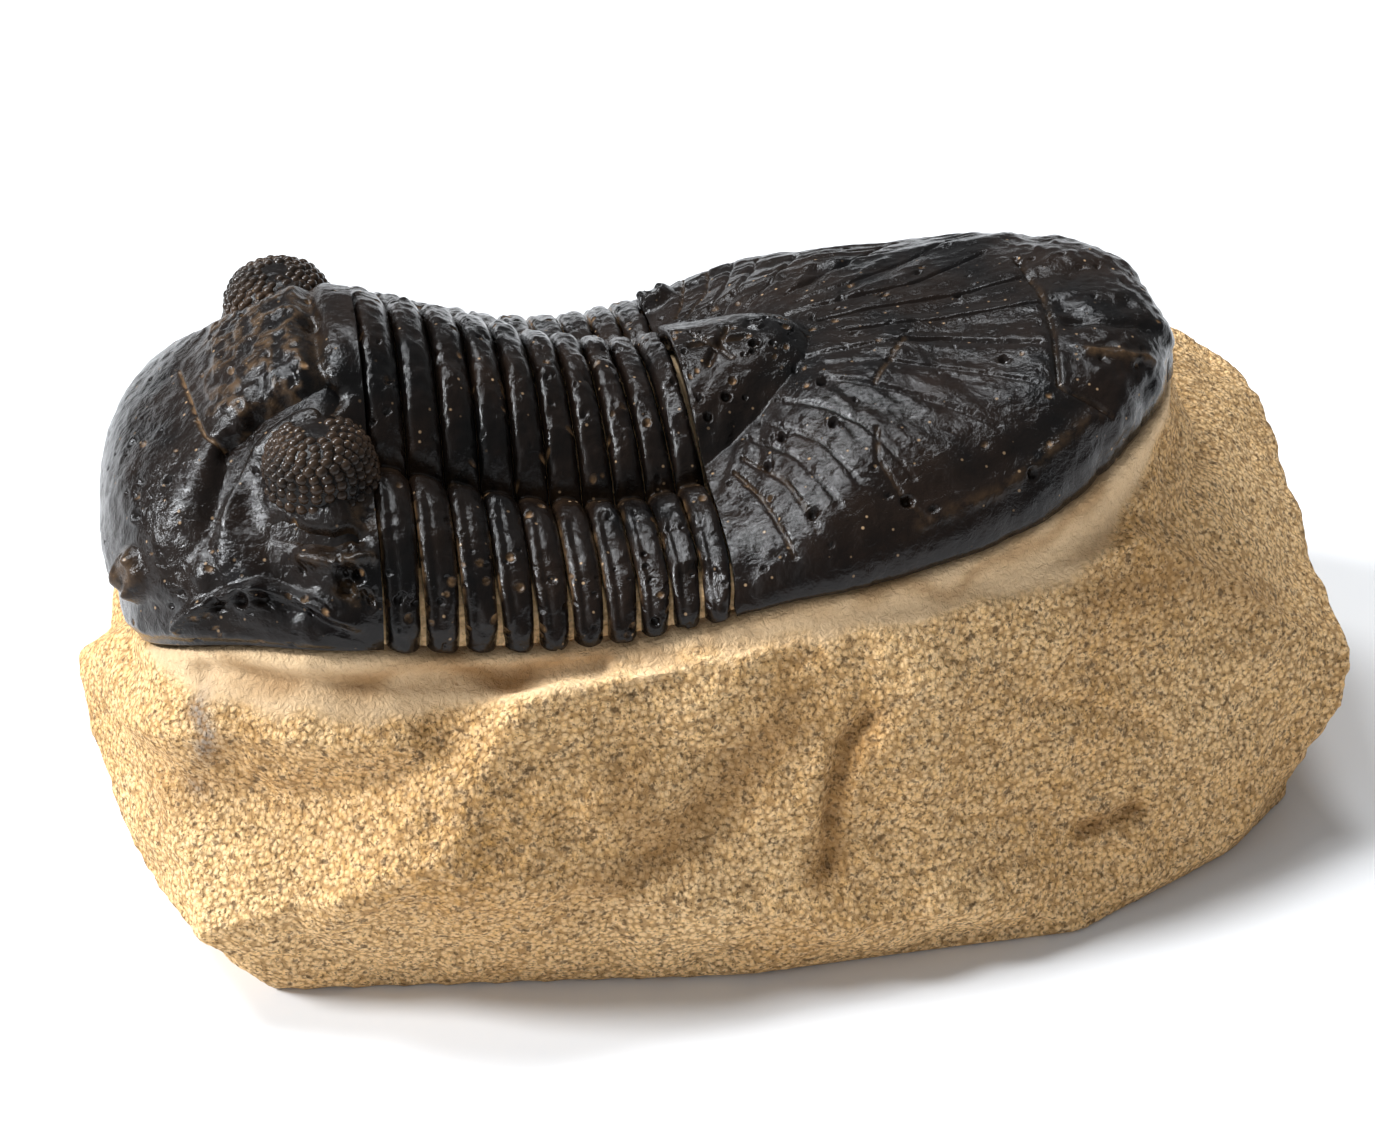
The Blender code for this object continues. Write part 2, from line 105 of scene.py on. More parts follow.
def ease(low: float, high: float, x: Array) -> Array:
    """Smooth step from 0 at low to 1 at high; low may be the larger one."""
    u = np.clip((np.asarray(x, float) - low) / (high - low), 0, 1)
    return u * u * (3 - 2 * u)


def bell(x: Array, width: float) -> Array:
    """Bell curve: 1 in the middle, about a third at the given width."""
    return np.exp(-((np.asarray(x, float) / width) ** 2))


def arch(share: Array, power: float) -> Array:
    """Rounded arch: 1 in the middle, 0 where the share of its half-width is 1."""
    return np.sqrt(np.clip(1 - np.clip(np.abs(share), 0, 1) ** power, 0, 1))


def grid_normals(points: Array) -> Array:
    """Normals of a grid of points.

    Args:
        points: Grid, rows by columns by three.

    Returns:
        Unit normals in the same arrangement.
    """
    down = np.gradient(points, axis=0)
    along = np.gradient(points, axis=1)
    normal = np.cross(along, down)
    length = np.linalg.norm(normal, axis=-1, keepdims=True)
    return normal / np.maximum(length, TINY)


def set_values(mesh: Mesh, name: str, values: Array) -> None:
    """Store one number at each point of a mesh, for its finish to read."""
    mesh.attributes.new(name, "FLOAT", "POINT").data.foreach_set("value", values)


def new_object(name: str, data: ID) -> Object:
    """Make an object at the origin and put it in the scene.

    Args:
        name: Its name.
        data: Its mesh, camera or light.

    Returns:
        The object.
    """
    made = bpy.data.objects.new(name, data)
    bpy.context.scene.collection.objects.link(made)
    return made


def settle_mesh(piece: Object) -> Mesh:
    """Turn what a piece's modifiers make into its own smooth mesh.

    Args:
        piece: Object with modifiers.

    Returns:
        Its new mesh.
    """
    graph = bpy.context.evaluated_depsgraph_get()
    mesh = bpy.data.meshes.new_from_object(piece.evaluated_get(graph))
    piece.modifiers.clear()
    piece.data = mesh
    mesh.polygons.foreach_set("use_smooth", [True] * len(mesh.polygons))
    return mesh


def direction(bearing: float, rise: float) -> Vector:
    """Direction at a bearing from +X towards +Y and a rise, in degrees."""
    b, e = math.radians(bearing), math.radians(rise)
    return Vector((math.cos(b) * math.cos(e), math.sin(b) * math.cos(e), math.sin(e)))


def feed(tree: NodeTree, node: Node, values: dict) -> Node:
    """Feed a node's inputs.

    Args:
        tree: Tree of the node.
        node: Node to feed.
        values: By name or index of the input, an output socket to link or a value to set.

    Returns:
        The same node.
    """
    for label, value in values.items():
        if isinstance(value, NodeSocket):
            tree.links.new(value, node.inputs[label])
        else:
            node.inputs[label].default_value = value
    return node


def add_node(tree: NodeTree, kind: str, values: dict) -> Node:
    """Add a node of a kind to a tree and feed it."""
    return feed(tree, tree.nodes.new(kind), values)


class Grain:
    """Repeatable three-dimensional value noise."""

    SIZE = 32
    OFFSET = 7.3
    SPLIT = 2.03

    def __init__(self, seed: int) -> None:
        """Fill the lattice from a fixed seed."""
        self.lattice = np.random.default_rng(seed).uniform(-1, 1, (self.SIZE,) * 3)

    def sample(self, points: Array, pitch: float) -> Array:
        """Read the noise.

        Args:
            points: Places in millimetres, with three coordinates on the last axis.
            pitch: Distance between the lattice points in millimetres.

        Returns:
            Values between -1 and 1.
        """
        p = points / pitch + self.OFFSET
        base = np.floor(p).astype(int)
        f = p - base
        f = f * f * (3 - 2 * f)
        total = np.zeros(points.shape[:-1])
        for dx in (0, 1):
            for dy in (0, 1):
                for dz in (0, 1):
                    i, j, k = ((base + (dx, dy, dz)) % self.SIZE).reshape(-1, 3).T
                    value = self.lattice[i, j, k].reshape(points.shape[:-1])
                    share = np.where(dx, f[..., 0], 1 - f[..., 0])
                    share = share * np.where(dy, f[..., 1], 1 - f[..., 1])
                    total += value * share * np.where(dz, f[..., 2], 1 - f[..., 2])
        return total

    def layers(self, points: Array, pitch: float, count: int = 3, keep: float = 0.5) -> Array:
        """Sum of several noises, each finer and weaker than the last.

        Args:
            points: Places in millimetres.
            pitch: Pitch of the first noise.
            count: How many noises.
            keep: Strength of each as a share of the last.

        Returns:
            The sum at each place.
        """
        total = np.zeros(points.shape[:-1])
        strength = 1.0
        for _ in range(count):
            total += strength * self.sample(points, pitch)
            pitch, strength = pitch / self.SPLIT, strength * keep
        return total

    def texture(self, points: Array, parts: Texture) -> Array:
        """Sum of layered noises, each given by its strength, pitch and number of layers."""
        return sum(strength * self.layers(points, *part) for strength, *part in parts)


def line_distance(points: Array, line: Array) -> Array:
    """Distance from points to a bent line, both in three dimensions.

    Args:
        points: Places in millimetres, any leading shape.
        line: Corners of the line, one per row.

    Returns:
        The distance of each place to the nearest stretch of the line.
    """
    best = np.full(points.shape[:-1], np.inf)
    for a, b in zip(line, line[1:]):
        d = b - a
        t = np.clip(((points - a) @ d) / max(d @ d, TINY), 0, 1)
        best = np.minimum(best, np.linalg.norm(points - a - t[..., None] * d, axis=-1))
    return best


@dataclass(frozen=True)
class Mark:
    """Groove or ridge along a bent line on a surface.

    The line is given in the surface's own coordinates, the width and depth in millimetres. A
    negative depth makes a ridge.
    """

    line: tuple[tuple[float, ...], ...]
    width: float
    depth: float
    dust: float = 0.0
    mirrored: bool = False


@dataclass(frozen=True)
class Pit:
    """Round pit or, with a negative depth, a knob, in the surface's own coordinates."""

    place: Span
    radius: float
    depth: float
    dust: float = 0.0


@dataclass
class Relief:
    """Height change and settled dust over one sheet of shell."""

    lift: Array
    dust: Array

    def press(self, points: Array, surface: Callable, mark: Mark) -> None:
        """Press a mark into the sheet.

        Args:
            points: Grid of surface points.
            surface: Gives the point at a pair of surface coordinates.
            mark: What to press.
        """
        corners = np.array(mark.line, float)
        steps = np.linspace(0, len(corners) - 1, 4 * len(corners))
        along = [np.interp(steps, range(len(corners)), column) for column in corners.T]
        for side in (1, -1) if mark.mirrored else (1,):
            track = surface(along[0], side * along[1])
            reach = 3 * mark.width
            low, high = track.min(axis=0) - reach, track.max(axis=0) + reach
            near = np.all((points > low) & (points < high), axis=-1)
            mask = bell(line_distance(points[near], track), mark.width)
            self.lift[near] -= mark.depth * mask
            self.dust[near] = np.maximum(self.dust[near], mark.dust * mask)

    def bowl(self, away: Array, rim: Span, dust: float) -> tuple[Array, Array]:
        """Bowl of a pit.

        Args:
            away: Distance to its middle as a share of its radius.
            rim: Height of its rim as a share of its depth, and the rim's place.
            dust: Strength of the dust in it.

        Returns:
            Its height as a share of its depth, and its dust.
        """
        hollow = np.exp(-(away**4))
        return rim[0] * bell(away - rim[1], 0.3) - hollow, dust * hollow

    def dent(self, points: Array, surface: Callable, pit: Pit) -> None:
        """Press one round pit with a slight rim.

        Args:
            points: Grid of surface points.
            surface: Gives the point at a pair of surface coordinates.
            pit: What to press.
        """
        centre = surface(np.array([pit.place[0]]), np.array([pit.place[1]]))[0]
        away = np.linalg.norm(points - centre, axis=-1) / pit.radius
        shape, dust = self.bowl(away, (0.15, 1.3), pit.dust)
        self.lift += pit.depth * shape
        self.dust = np.maximum(self.dust, dust)

    def groove(self, away: Array, width: float, depth: float, dust: float = 0.0) -> None:
        """Press a groove.

        Args:
            away: Distance to its line.
            width: Its width in the same unit.
            depth: Its depth in millimetres.
            dust: Strength of the dust in it.
        """
        mask = bell(away, width)
        self.lift -= depth * mask
        self.dust = np.maximum(self.dust, dust * mask)

    def pits(self, points: Array, seed: int, count: int, radius: float, depth: float) -> None:
        """Press round pits at random places.

        Args:
            points: Grid of surface points.
            seed: Fixed seed of their places.
            count: How many pits.
            radius: Largest radius in millimetres.
            depth: Depth of the largest pit in millimetres.
        """
        rng = np.random.default_rng(seed)
        flat = points.reshape(-1, 3)
        lift, dust = self.lift.reshape(-1), self.dust.reshape(-1)
        for place in rng.choice(len(flat), count, replace=False):
            size = radius * rng.uniform(0.45, 1.0)
            near = np.nonzero(np.abs(flat - flat[place]).max(axis=1) < 2.5 * size)[0]
            away = np.linalg.norm(flat[near] - flat[place], axis=1) / size
            shape, settled = self.bowl(away, (0.18, 1.25), rng.choice((0.0, 0.0, 0.5)))
            lift[near] += depth * size / radius * shape
            dust[near] = np.maximum(dust[near], settled)


class SolidMaker:
    """Collects the points, faces and dust of one closed piece, in millimetres."""

    MERGE = 0.002
    COLLAPSE = 0.001

    def __init__(self) -> None:
        """Start with nothing."""
        self.points: list[Array] = []
        self.dust: list[Array] = []
        self.faces: list[tuple[int, ...]] = []
        self.count = 0

    def add(self, points: Array, dust: Optional[Array] = None) -> Array:
        """Add points.

        Args:
            points: Places in any arrangement, with three coordinates on the last axis.
            dust: Dust at each place; none if left out.

        Returns:
            Their indices in the same arrangement.
        """
        points = np.asarray(points, float)
        flat = points.reshape(-1, 3)
        self.points.append(flat)
        self.dust.append(np.zeros(len(flat)) if dust is None else dust.reshape(-1))
        ids = np.arange(self.count, self.count + len(flat)).reshape(points.shape[:-1])
        self.count += len(flat)
        return ids

    def sheet(self, ids: Array, closed: bool = False) -> None:
        """Join a grid of indices with faces.

        Args:
            ids: Grid of indices.
            closed: Whether the last column meets the first.
        """
        right = np.roll(ids, -1, axis=1) if closed else ids[:, 1:]
        left = ids if closed else ids[:, :-1]
        quads = np.stack([left[:-1], right[:-1], right[1:], left[1:]], -1).reshape(-1, 4)
        self.faces.extend(map(tuple, quads.tolist()))

    def strip(self, a: Array, b: Array) -> None:
        """Join two lines of indices that run side by side.

        Args:
            a: First line.
            b: Second line, which may differ in length.
        """
        i = j = 0
        while i < len(a) - 1 or j < len(b) - 1:
            ahead = (i + 1) * (len(b) - 1) <= (j + 1) * (len(a) - 1)
            if j == len(b) - 1 or (i < len(a) - 1 and ahead):
                self.faces.append((int(a[i]), int(a[i + 1]), int(b[j])))
                i += 1
            else:
                self.faces.append((int(a[i]), int(b[j + 1]), int(b[j])))
                j += 1

    def wrap(self, top: Array, under: Array, sides: bool = True) -> None:
        """Close the space between two sheets.

        Args:
            top: Grid of indices of the outer sheet.
            under: Grid of the inner one.
            sides: Whether the first and last columns are joined as well as the rows.
        """
        self.sheet(top)
        self.sheet(under)
        self.strip(top[0], under[0])
        self.strip(top[-1], under[-1])
        if sides:
            self.strip(top[:, 0], under[:, 0])
            self.strip(top[:, -1], under[:, -1])

    def fan(self, line: Array, tip: int) -> None:
        """Join a closed line of indices to one point."""
        for a, b in zip(line.tolist(), np.roll(line, -1).tolist()):
            self.faces.append((a, b, int(tip)))

    def finish(self, name: str) -> Object:
        """Make the object in metres, closed at its seams and facing outwards.

        Args:
            name: Name of the piece.

        Returns:
            The object.
        """
        points = (np.vstack(self.points) + SHIFT) * MM
        mesh = bpy.data.meshes.new(name)
        mesh.from_pydata(points.tolist(), [], self.faces)
        set_values(mesh, "dust", np.clip(np.concatenate(self.dust), 0, 1))
        bm = bmesh.new()
        bm.from_mesh(mesh)
        bmesh.ops.remove_doubles(bm, verts=bm.verts, dist=self.MERGE * MM)
        bmesh.ops.dissolve_degenerate(bm, edges=bm.edges, dist=self.COLLAPSE * MM)
        bmesh.ops.recalc_face_normals(bm, faces=bm.faces)
        for face in bm.faces:
            face.smooth = True
        bm.to_mesh(mesh)
        bm.free()
        return new_object(name, mesh)


def hand_over(piece: Object, material: Material, node: str) -> None:
    """Dress a finished piece, hang it on the root body and hide the frame's solid that it stands
    for.

    Args:
        piece: The finished mesh object.
        material: Its finish.
        node: Solid of the frame that it replaces, whose material slot has the same name.
    """
    piece.data.materials.clear()
    piece.data.materials.append(material)
    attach(piece, ROOT)
    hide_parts(node)
    LOG.info("%s: %d faces", piece.name, len(piece.data.polygons))


@dataclass
class Back:
    """Cross-sections of the animal's body between its two shields."""

    half_width: float = 22.0
    furrow_height: float = 34.0
    front: float = -25.226
    rear: float = -0.7
    first_share: float = 1.14
    last_share: float = 0.90
    axis_arc: float = math.radians(76)
    rib_power: float = 2.5
    rib_rise: float = 0.6
    tip_taper: float = 0.88
    tip_start: float = 0.55
    axis_share: float = 5 / 12
    crest: Stations = (
        (-26, 44.5), (-22, 42.9), (-17.5, 41.3), (-12, 39.4), (-7, 38.0), (-3.5, 37.2), (0, 37.8),
    )
    margin: Stations = (
        (-26, 29.4), (-19, 28.2), (-10, 27.8), (-4, 28.2), (3, 29.6), (12, 30.3), (20, 31.2),
        (28, 32.8), (33, 34.2), (39, 35.0),
    )
    furrow: Stations = (
        (-26, 37.8), (-22.7, 36.9), (-16.4, 34.4), (-9, 32.4), (-3, 32.6), (2, 33.6),
    )
    axis: Stations = ((-26, 10.4), (-16, 10.3), (-8, 10.0), (2, 9.4))
    lean: Stations = ((-26, 0.06), (-14, 0.04), (-4, -0.06), (2, -0.12))
    sweep: Stations = ((-25, 0.0), (-16, 0.1), (-8, -0.3), (-0.7, -0.6), (6, -0.6))

    def height(self, s: Array, y: Array, inset: float = 0.0) -> Array:
        """Height of the back.

        Args:
            s: Station along the animal.
            y: Sideways place.
            inset: Depth under the outer surface.

        Returns:
            The height at each place.
        """
        crest = curve(self.crest, s) - inset
        furrow = curve(self.furrow, s) - inset
        margin = curve(self.margin, s)
        half = self.half_width - inset
        axis = curve(self.axis, s)
        away = np.abs(y)
        lift = np.cos(np.arcsin(np.clip(away / axis, 0, 1) * math.sin(self.axis_arc)))
        level = math.cos(self.axis_arc)
        inner = furrow + (crest - furrow) * (lift - level) / (1 - level)
        out = np.clip((away - axis) / (half - axis), 0, 1)
        fall = (1 - out**self.rib_power) ** (1 / self.rib_power)
        rise = self.rib_rise * np.sin(np.pi * np.sqrt(out)) ** 2
        return np.where(away < axis, inner, margin + (furrow - margin) * fall + rise)

    def across(self, s: Array, v: Array, inset: float = 0.0) -> Array:
        """Sideways place, spaced closely where the surface is steep.

        Args:
            s: Station along the animal.
            v: Share of the way across, from -1 to 1.
            inset: Depth under the outer surface.

        Returns:
            The place in millimetres.
        """
        axis = curve(self.axis, s)
        half = self.half_width - inset
        share = np.abs(v)
        split = self.axis_share
        on_axis = axis * np.sin(np.minimum(share / split, 1) * self.axis_arc)
        turn = np.clip((share - split) / (1 - split), 0, 1) * np.pi / 2
        on_rib = axis + (half - axis) * np.sin(turn) ** (2 / self.rib_power)
        return np.sign(v) * np.where(share <= split, on_axis / math.sin(self.axis_arc), on_rib)

    def point(
        self,
        s: Array,
        v: Array,
        inset: float = 0.0,
        lift: Array = 0.0,
        middle: Optional[float] = None,
    ) -> Array:
        """Point of the back.

        Args:
            s: Station along the animal.
            v: Share of the way across, from -1 to 1.
            inset: Depth under the outer surface.
            lift: Height above the surface, along its rough normal.
            middle: Middle station of the segment, whose tips close in on it.

        Returns:
            Points with three coordinates on the last axis.
        """
        s, v = np.broadcast_arrays(np.asarray(s, float), np.asarray(v, float))
        y = self.across(s, v, inset)
        z = self.height(s, y, inset)
        tip = ease(self.tip_start, 1.0, np.abs(v))
        along = s if middle is None else middle + (s - middle) * (1 - (1 - self.tip_taper) * tip)
        x = along + curve(self.lean, s) * (z - self.furrow_height) + curve(self.sweep, s) * tip**2
        side = np.clip(np.abs(y) / self.half_width, 0, 1) ** 3
        return np.stack([x, y + lift * side * np.sign(v), z + lift * (1 - side)], -1)

    def borders(self, count: int) -> Array:
        """Stations between the segments, from the head to the tail.

        Args:
            count: Number of segments.

        Returns:
            One more station than there are segments.
        """
        share = np.linspace(self.first_share, self.last_share, count)
        step = np.concatenate(([0.0], np.cumsum(share) / share.sum()))
        return self.front + (self.rear - self.front) * step


@dataclass
class BodySegments:
    """The ten arched bands between the head shield and the tail shield."""

    back: Back
    count: int = 10
    rows: int = 22
    columns: int = 430
    columns_under: int = 60
    band_arch: float = 0.95
    arch_power: float = 3.8
    rib_flatness: float = 0.22
    rib_start: Span = (0.42, 0.50)
    axis_furrow: tuple[float, float, float] = (0.028, 0.6, 0.04)
    groove_place: float = 0.36
    groove_width: float = 0.12
    groove_depth: float = 0.22
    groove_span: Span = (0.46, 0.56)
    tip_drop: float = 0.25
    dust: float = 0.45
    dust_power: int = 16
    texture: Texture = ((0.26, 2.4, 3), (0.06, 0.7, 2))
    broken: Pit = Pit((-3.2, -0.78), 1.5, 0.75)
    pits: Pitting = (30, 0.32, 0.34)
    seed: int = 11

    def relief(self, number: int, u: Array, v: Array, base: Array) -> Relief:
        """Arch, furrows, dust and pits of one band.

        Args:
            number: Its place in the row, from 1 at the head.
            u: Share of the way back over the band.
            v: Share of the way across the animal, from -1 to 1.
            base: Grid of its surface points.

        Returns:
            Its relief.
        """
        share = np.abs(v)
        edge = np.abs(2 * u - 1)
        depth = self.band_arch * (1 - self.rib_flatness * ease(*self.rib_start, share))
        relief = Relief(-depth * edge**self.arch_power, np.zeros_like(base[..., 0]))
        off_axis = share - self.back.axis_share
        relief.groove(off_axis * np.ones_like(u), *self.axis_furrow)
        groove = bell(u - self.groove_place, self.groove_width) * ease(*self.groove_span, share)
        relief.lift -= self.groove_depth * groove * ease(1.0, 0.86, share)
        relief.lift -= self.tip_drop * ease(0.93, 1.0, share) * edge**2
        patchy = ease(-0.1, 0.5, Grain(self.seed + number).layers(base, 3.0, 2))
        on_rib = ease(0.42, 0.55, share) * (1 - 0.5 * bell(off_axis, 0.035))
        dust = self.dust * edge**self.dust_power * on_rib * patchy
        relief.dust = np.maximum(relief.dust, dust)
        relief.lift += Grain(self.seed).texture(base, self.texture)
        relief.dent(base, self.back.point, self.broken)
        relief.pits(base, self.seed + number, *self.pits)
        return relief

    def build_one(self, number: int, front: float, rear: float) -> Object:
        """Make one band.

        Args:
            number: Its place in the row, from 1 at the head.
            front: Station of its front border.
            rear: Station of its rear border.

        Returns:
            The finished piece.
        """
        back, solid = self.back, SolidMaker()
        v = np.linspace(-1, 1, self.columns + 1)[None, :]
        u = np.linspace(0, 1, self.rows + 1)[:, None]
        low, high, middle = front + SEAM, rear - SEAM, (front + rear) / 2
        s = low + (high - low) * u
        relief = self.relief(number, u, v, back.point(s, v, middle=middle))
        top = solid.add(back.point(s, v, 0.0, relief.lift, middle), relief.dust)
        few = np.linspace(-1, 1, self.columns_under + 1)[None, :]
        ends = np.array([[low], [high]])
        solid.wrap(top, solid.add(back.point(ends, few, SHELL_THICKNESS, 0.0, middle)))
        return solid.finish(f"body_band_{number:02d}")

    def build(self, material: Material) -> None:
        """Make and hand over every band.

        Args:
            material: Their finish.
        """
        borders = self.back.borders(self.count)
        for index in range(self.count):
            number = index + 1
            piece = self.build_one(number, borders[index], borders[index + 1])
            hand_over(piece, material, f"thorax_segment_{number:02d}")


@dataclass
class HeadShield:
    """Head shield: a visor that fans about the line between its two rear corners."""

    back: Back
    pivot_x: float = -25.5
    pivot_z: float = 29.5
    rear_angle: float = 86.5
    power: float = 2.4
    rows: int = 330
    columns: int = 280
    grid_under: tuple[int, int] = (30, 48)
    rear_blend: float = 17.0
    highest: float = 44.08
    furrow_width: float = 1.3
    lobe_furrow: float = 1.3
    cheek_drop: float = 1.0
    cheek_width: float = 3.5
    column_bend: float = 0.6
    rear_lobe: tuple[Span, Span] = ((140.0, 128.0), (98.0, 104.0))
    cheek: tuple[Span, Span] = ((14.5, 16.8), (146.0, 158.0))
    crater_dust: float = 0.12
    lobe_lift: float = 0.38
    crater: tuple[float, float, int, float] = (0.32, 2.1, 3, 0.6)
    cheek_lift: float = 0.35
    rim_lift: float = 0.30
    rim_furrow: float = 0.25
    crust_place: Span = (176.0, -11.4)
    crust_reach: Span = (2.4, 1.1)
    crust_lift: Span = (0.95, 0.4)
    texture: Texture = ((0.10, 4.0, 2), (0.05, 0.8, 2))
    pits: Pitting = (170, 0.28, 0.26)
    radius: Stations = (
        (86, 14.9), (99, 14.4), (116, 14.1), (135, 14.6), (152, 16.3), (165, 18.1), (182, 19.2),
        (203, 19.1),
    )
    front_angle: Stations = ((0, 205), (0.3, 202), (0.6, 193), (0.85, 183), (1, 176))
    lobe: Stations = (
        (86, 10.4), (96, 8.6), (108, 7.4), (120, 7.8), (134, 9.6), (149, 12.8), (162, 14.6),
        (175, 16.0), (205, 17.0),
    )
    marks: tuple[Mark, ...] = (
        Mark(((143.2, 3.0), (140, -2.3), (138, -7.3), (134.6, -9)), 0.12, 0.25, 0.4),
        Mark(((134.6, 8.9), (122.4, 7.9), (107.6, 7.9), (94, 7.9)), 0.8, 0.8, 0.0, True),
        Mark(
            ((134.6, 9), (140, 10.5), (149, 13.3), (157, 15.7), (166, 17.8)), 0.8, 0.25, 0.0, True
        ),
        Mark(((133, 11.5), (136, 14.6), (140, 17.6), (147, 19.6)), 1.6, 0.6, 0.0, True),
        Mark(((180, 16.3), (172, 17.0), (165, 17.6), (154, 18.4)), 0.4, -0.65, 0.0, True),
        Mark(((154, 18.4), (146, 20.0), (138, 21.2), (128, 21.7)), 0.5, -0.8, 0.0, True),
        Mark(((131, 16.2), (124, 17.4), (112, 18.3), (96, 18.4)), 0.6, 1.0, 0.05, True),
        Mark(((130, 18.2), (118, 19.2), (104, 19.5), (92, 19.5)), 0.45, -0.55, 0.06, True),
        Mark(((100, 0), (99.5, 4), (98.5, 8)), 0.8, 0.75, 0.05, True),
        Mark(((99, 9), (96, 13), (93, 17)), 0.9, 0.6, 0.1, True),
        Mark(((120, -20.5), (112, -21.0), (100, -21.3)), 0.5, 0.4, 0.1),
    )
    named_pits: tuple[Pit, ...] = (
        Pit((110.9, -20.1), 0.8, 0.6), Pit((116, -20.6), 0.6, 0.5), Pit((104, -20.4), 0.5, 0.4),
        Pit((152, -9.0), 0.4, 0.4), Pit((163, -9.5), 0.45, 0.4), Pit((158, -2.0), 0.4, 0.35),
        Pit((168, -17.6), 0.5, 0.5), Pit((162, -18.3), 0.55, 0.5), Pit((157, -18.9), 0.5, 0.45),
    )
    seed: int = 3

    def across(self, columns: int, half: float) -> Array:
        """Sideways places of the columns, closer together near the corners."""
        even, bend = np.linspace(-1, 1, columns + 1), self.column_bend
        return half * (bend * np.sin(even * np.pi / 2) + (1 - bend) * even)

    def spread(self, angle: Array, y: Array, inset: float = 0.0) -> Array:
        """Distance of the surface from the pivot line.

        Args:
            angle: Fan angle in degrees.
            y: Sideways place.
            inset: Depth under the outer surface.

        Returns:
            The distance at each place.
        """
        half = self.back.half_width - inset
        dome = (curve(self.radius, angle) - inset) * arch(y / half, self.power)
        if inset == 0.0:
            edge = np.abs(y) - curve(self.lobe, angle)
            groove = bell(edge, self.furrow_width) * ease(180, 150, angle)
            near_edge = ease(1.0, 0.86, np.abs(y) / half)
            drop = self.lobe_furrow * groove + self.cheek_drop * ease(0, self.cheek_width, edge)
            dome = dome - drop * near_edge
        rear = self.back.height(self.back.front, y, inset) - self.pivot_z
        blend = ease(self.rear_angle, self.rear_angle + self.rear_blend, angle)
        inside = np.abs(y) < half - 1e-6
        return np.clip(rear * (1 - blend) + dome * blend, 0, None) * inside

    def point(self, angle: Array, y: Array, inset: float = 0.0) -> Array:
        """Point of the surface.

        Args:
            angle: Fan angle in degrees.
            y: Sideways place.
            inset: Depth under the outer surface.

        Returns:
            Points with three coordinates on the last axis.
        """
        angle, y = np.broadcast_arrays(np.asarray(angle, float), np.asarray(y, float))
        reach = self.spread(angle, y, inset)
        turn = np.radians(angle)
        x = self.pivot_x + reach * np.cos(turn)
        return np.stack([x, y, self.pivot_z + reach * np.sin(turn)], -1)

    def angles(self, rows: int, y: Array) -> Array:
        """Fan angles of a grid from the rear edge to the lower front edge."""
        last = curve(self.front_angle, np.abs(y) / self.back.half_width)
        return self.rear_angle + (last - self.rear_angle) * np.linspace(0, 1, rows + 1)[:, None]

    def relief(self, angle: Array, y: Array, base: Array) -> Relief:
        """Lobes, furrows, pits and crust of the head's surface.

        Args:
            angle: Fan angles of the grid, in degrees.
            y: Sideways places of the grid.
            base: Its surface points.

        Returns:
            The relief.
        """
        away = np.abs(y)
        half = self.back.half_width
        grain = Grain(self.seed)
        relief = Relief(np.zeros_like(angle), np.zeros_like(angle))
        inside = ease(0.6, -0.6, away - curve(self.lobe, angle))
        rise, fall = self.rear_lobe
        rear_part = ease(*rise, angle) * ease(*fall, angle) * inside
        depth, *noise = self.crater
        crater = np.abs(grain.layers(base, *noise))
        relief.lift += rear_part * (self.lobe_lift - depth * crater)
        dust = rear_part * ease(0.35, 0.1, crater) * self.crater_dust
        relief.dust = np.maximum(relief.dust, dust)
        relief.lift += grain.texture(base, self.texture)
        end = curve(self.front_angle, away / half)
        sideways, down = self.cheek
        below = ease(*sideways, away) * ease(*down, angle) * ease(end, end - 9, angle)
        relief.lift += self.cheek_lift * below * (1 + 0.6 * grain.sample(base, 1.4))
        relief.lift += self.rim_lift * bell(angle - end + 5, 3.0) * ease(0.98, 0.8, away / half)
        relief.lift -= self.rim_furrow * bell(angle - end + 12, 3.0) * ease(0.9, 0.6, away / half)
        from_crust = np.linalg.norm(base - self.point(*self.crust_place), axis=-1)
        crust = ease(*self.crust_reach, from_crust)
        level, rough = self.crust_lift
        relief.lift += crust * (level + rough * grain.layers(base, 1.1, 2))
        relief.dust = np.maximum(relief.dust, self.crater_dust * crust)
        for mark in self.marks:
            relief.press(base, self.point, mark)
        for pit in self.named_pits:
            relief.dent(base, self.point, pit)
        relief.pits(base, self.seed, *self.pits)
        return relief

    def build(self, material: Material) -> None:
        """Make the shield and hand it over.

        Args:
            material: Its finish.
        """
        y = self.across(self.columns, self.back.half_width)
        angle = self.angles(self.rows, y)
        y_grid = np.broadcast_to(y, angle.shape)
        base = self.point(angle, y_grid)
        normal = grid_normals(base)
        pivot = np.array([self.pivot_x, 0, self.pivot_z])
        outward = np.sum(normal * (base - pivot) * (1, 0.02, 1), axis=-1, keepdims=True)
        normal *= np.where(outward > -TINY, 1.0, -1.0)
        relief = self.relief(angle, y_grid, base)
        share = np.abs(y_grid) / self.back.half_width
        end = curve(self.front_angle, share)
        fade = ease(1.0, 0.97, share) * ease(end, end - 4, angle)
        outer = base + normal * (relief.lift * fade)[..., None]
        outer[..., 2] = np.minimum(outer[..., 2], self.highest)
        solid = SolidMaker()
        top = solid.add(outer, relief.dust)
        rows, columns = self.grid_under
        y = self.across(columns, self.back.half_width - SHELL_THICKNESS)
        under = solid.add(self.point(self.angles(rows, y), y, SHELL_THICKNESS))
        solid.wrap(top, under, sides=False)
        hand_over(solid.finish("head_shield"), material, "cephalon")


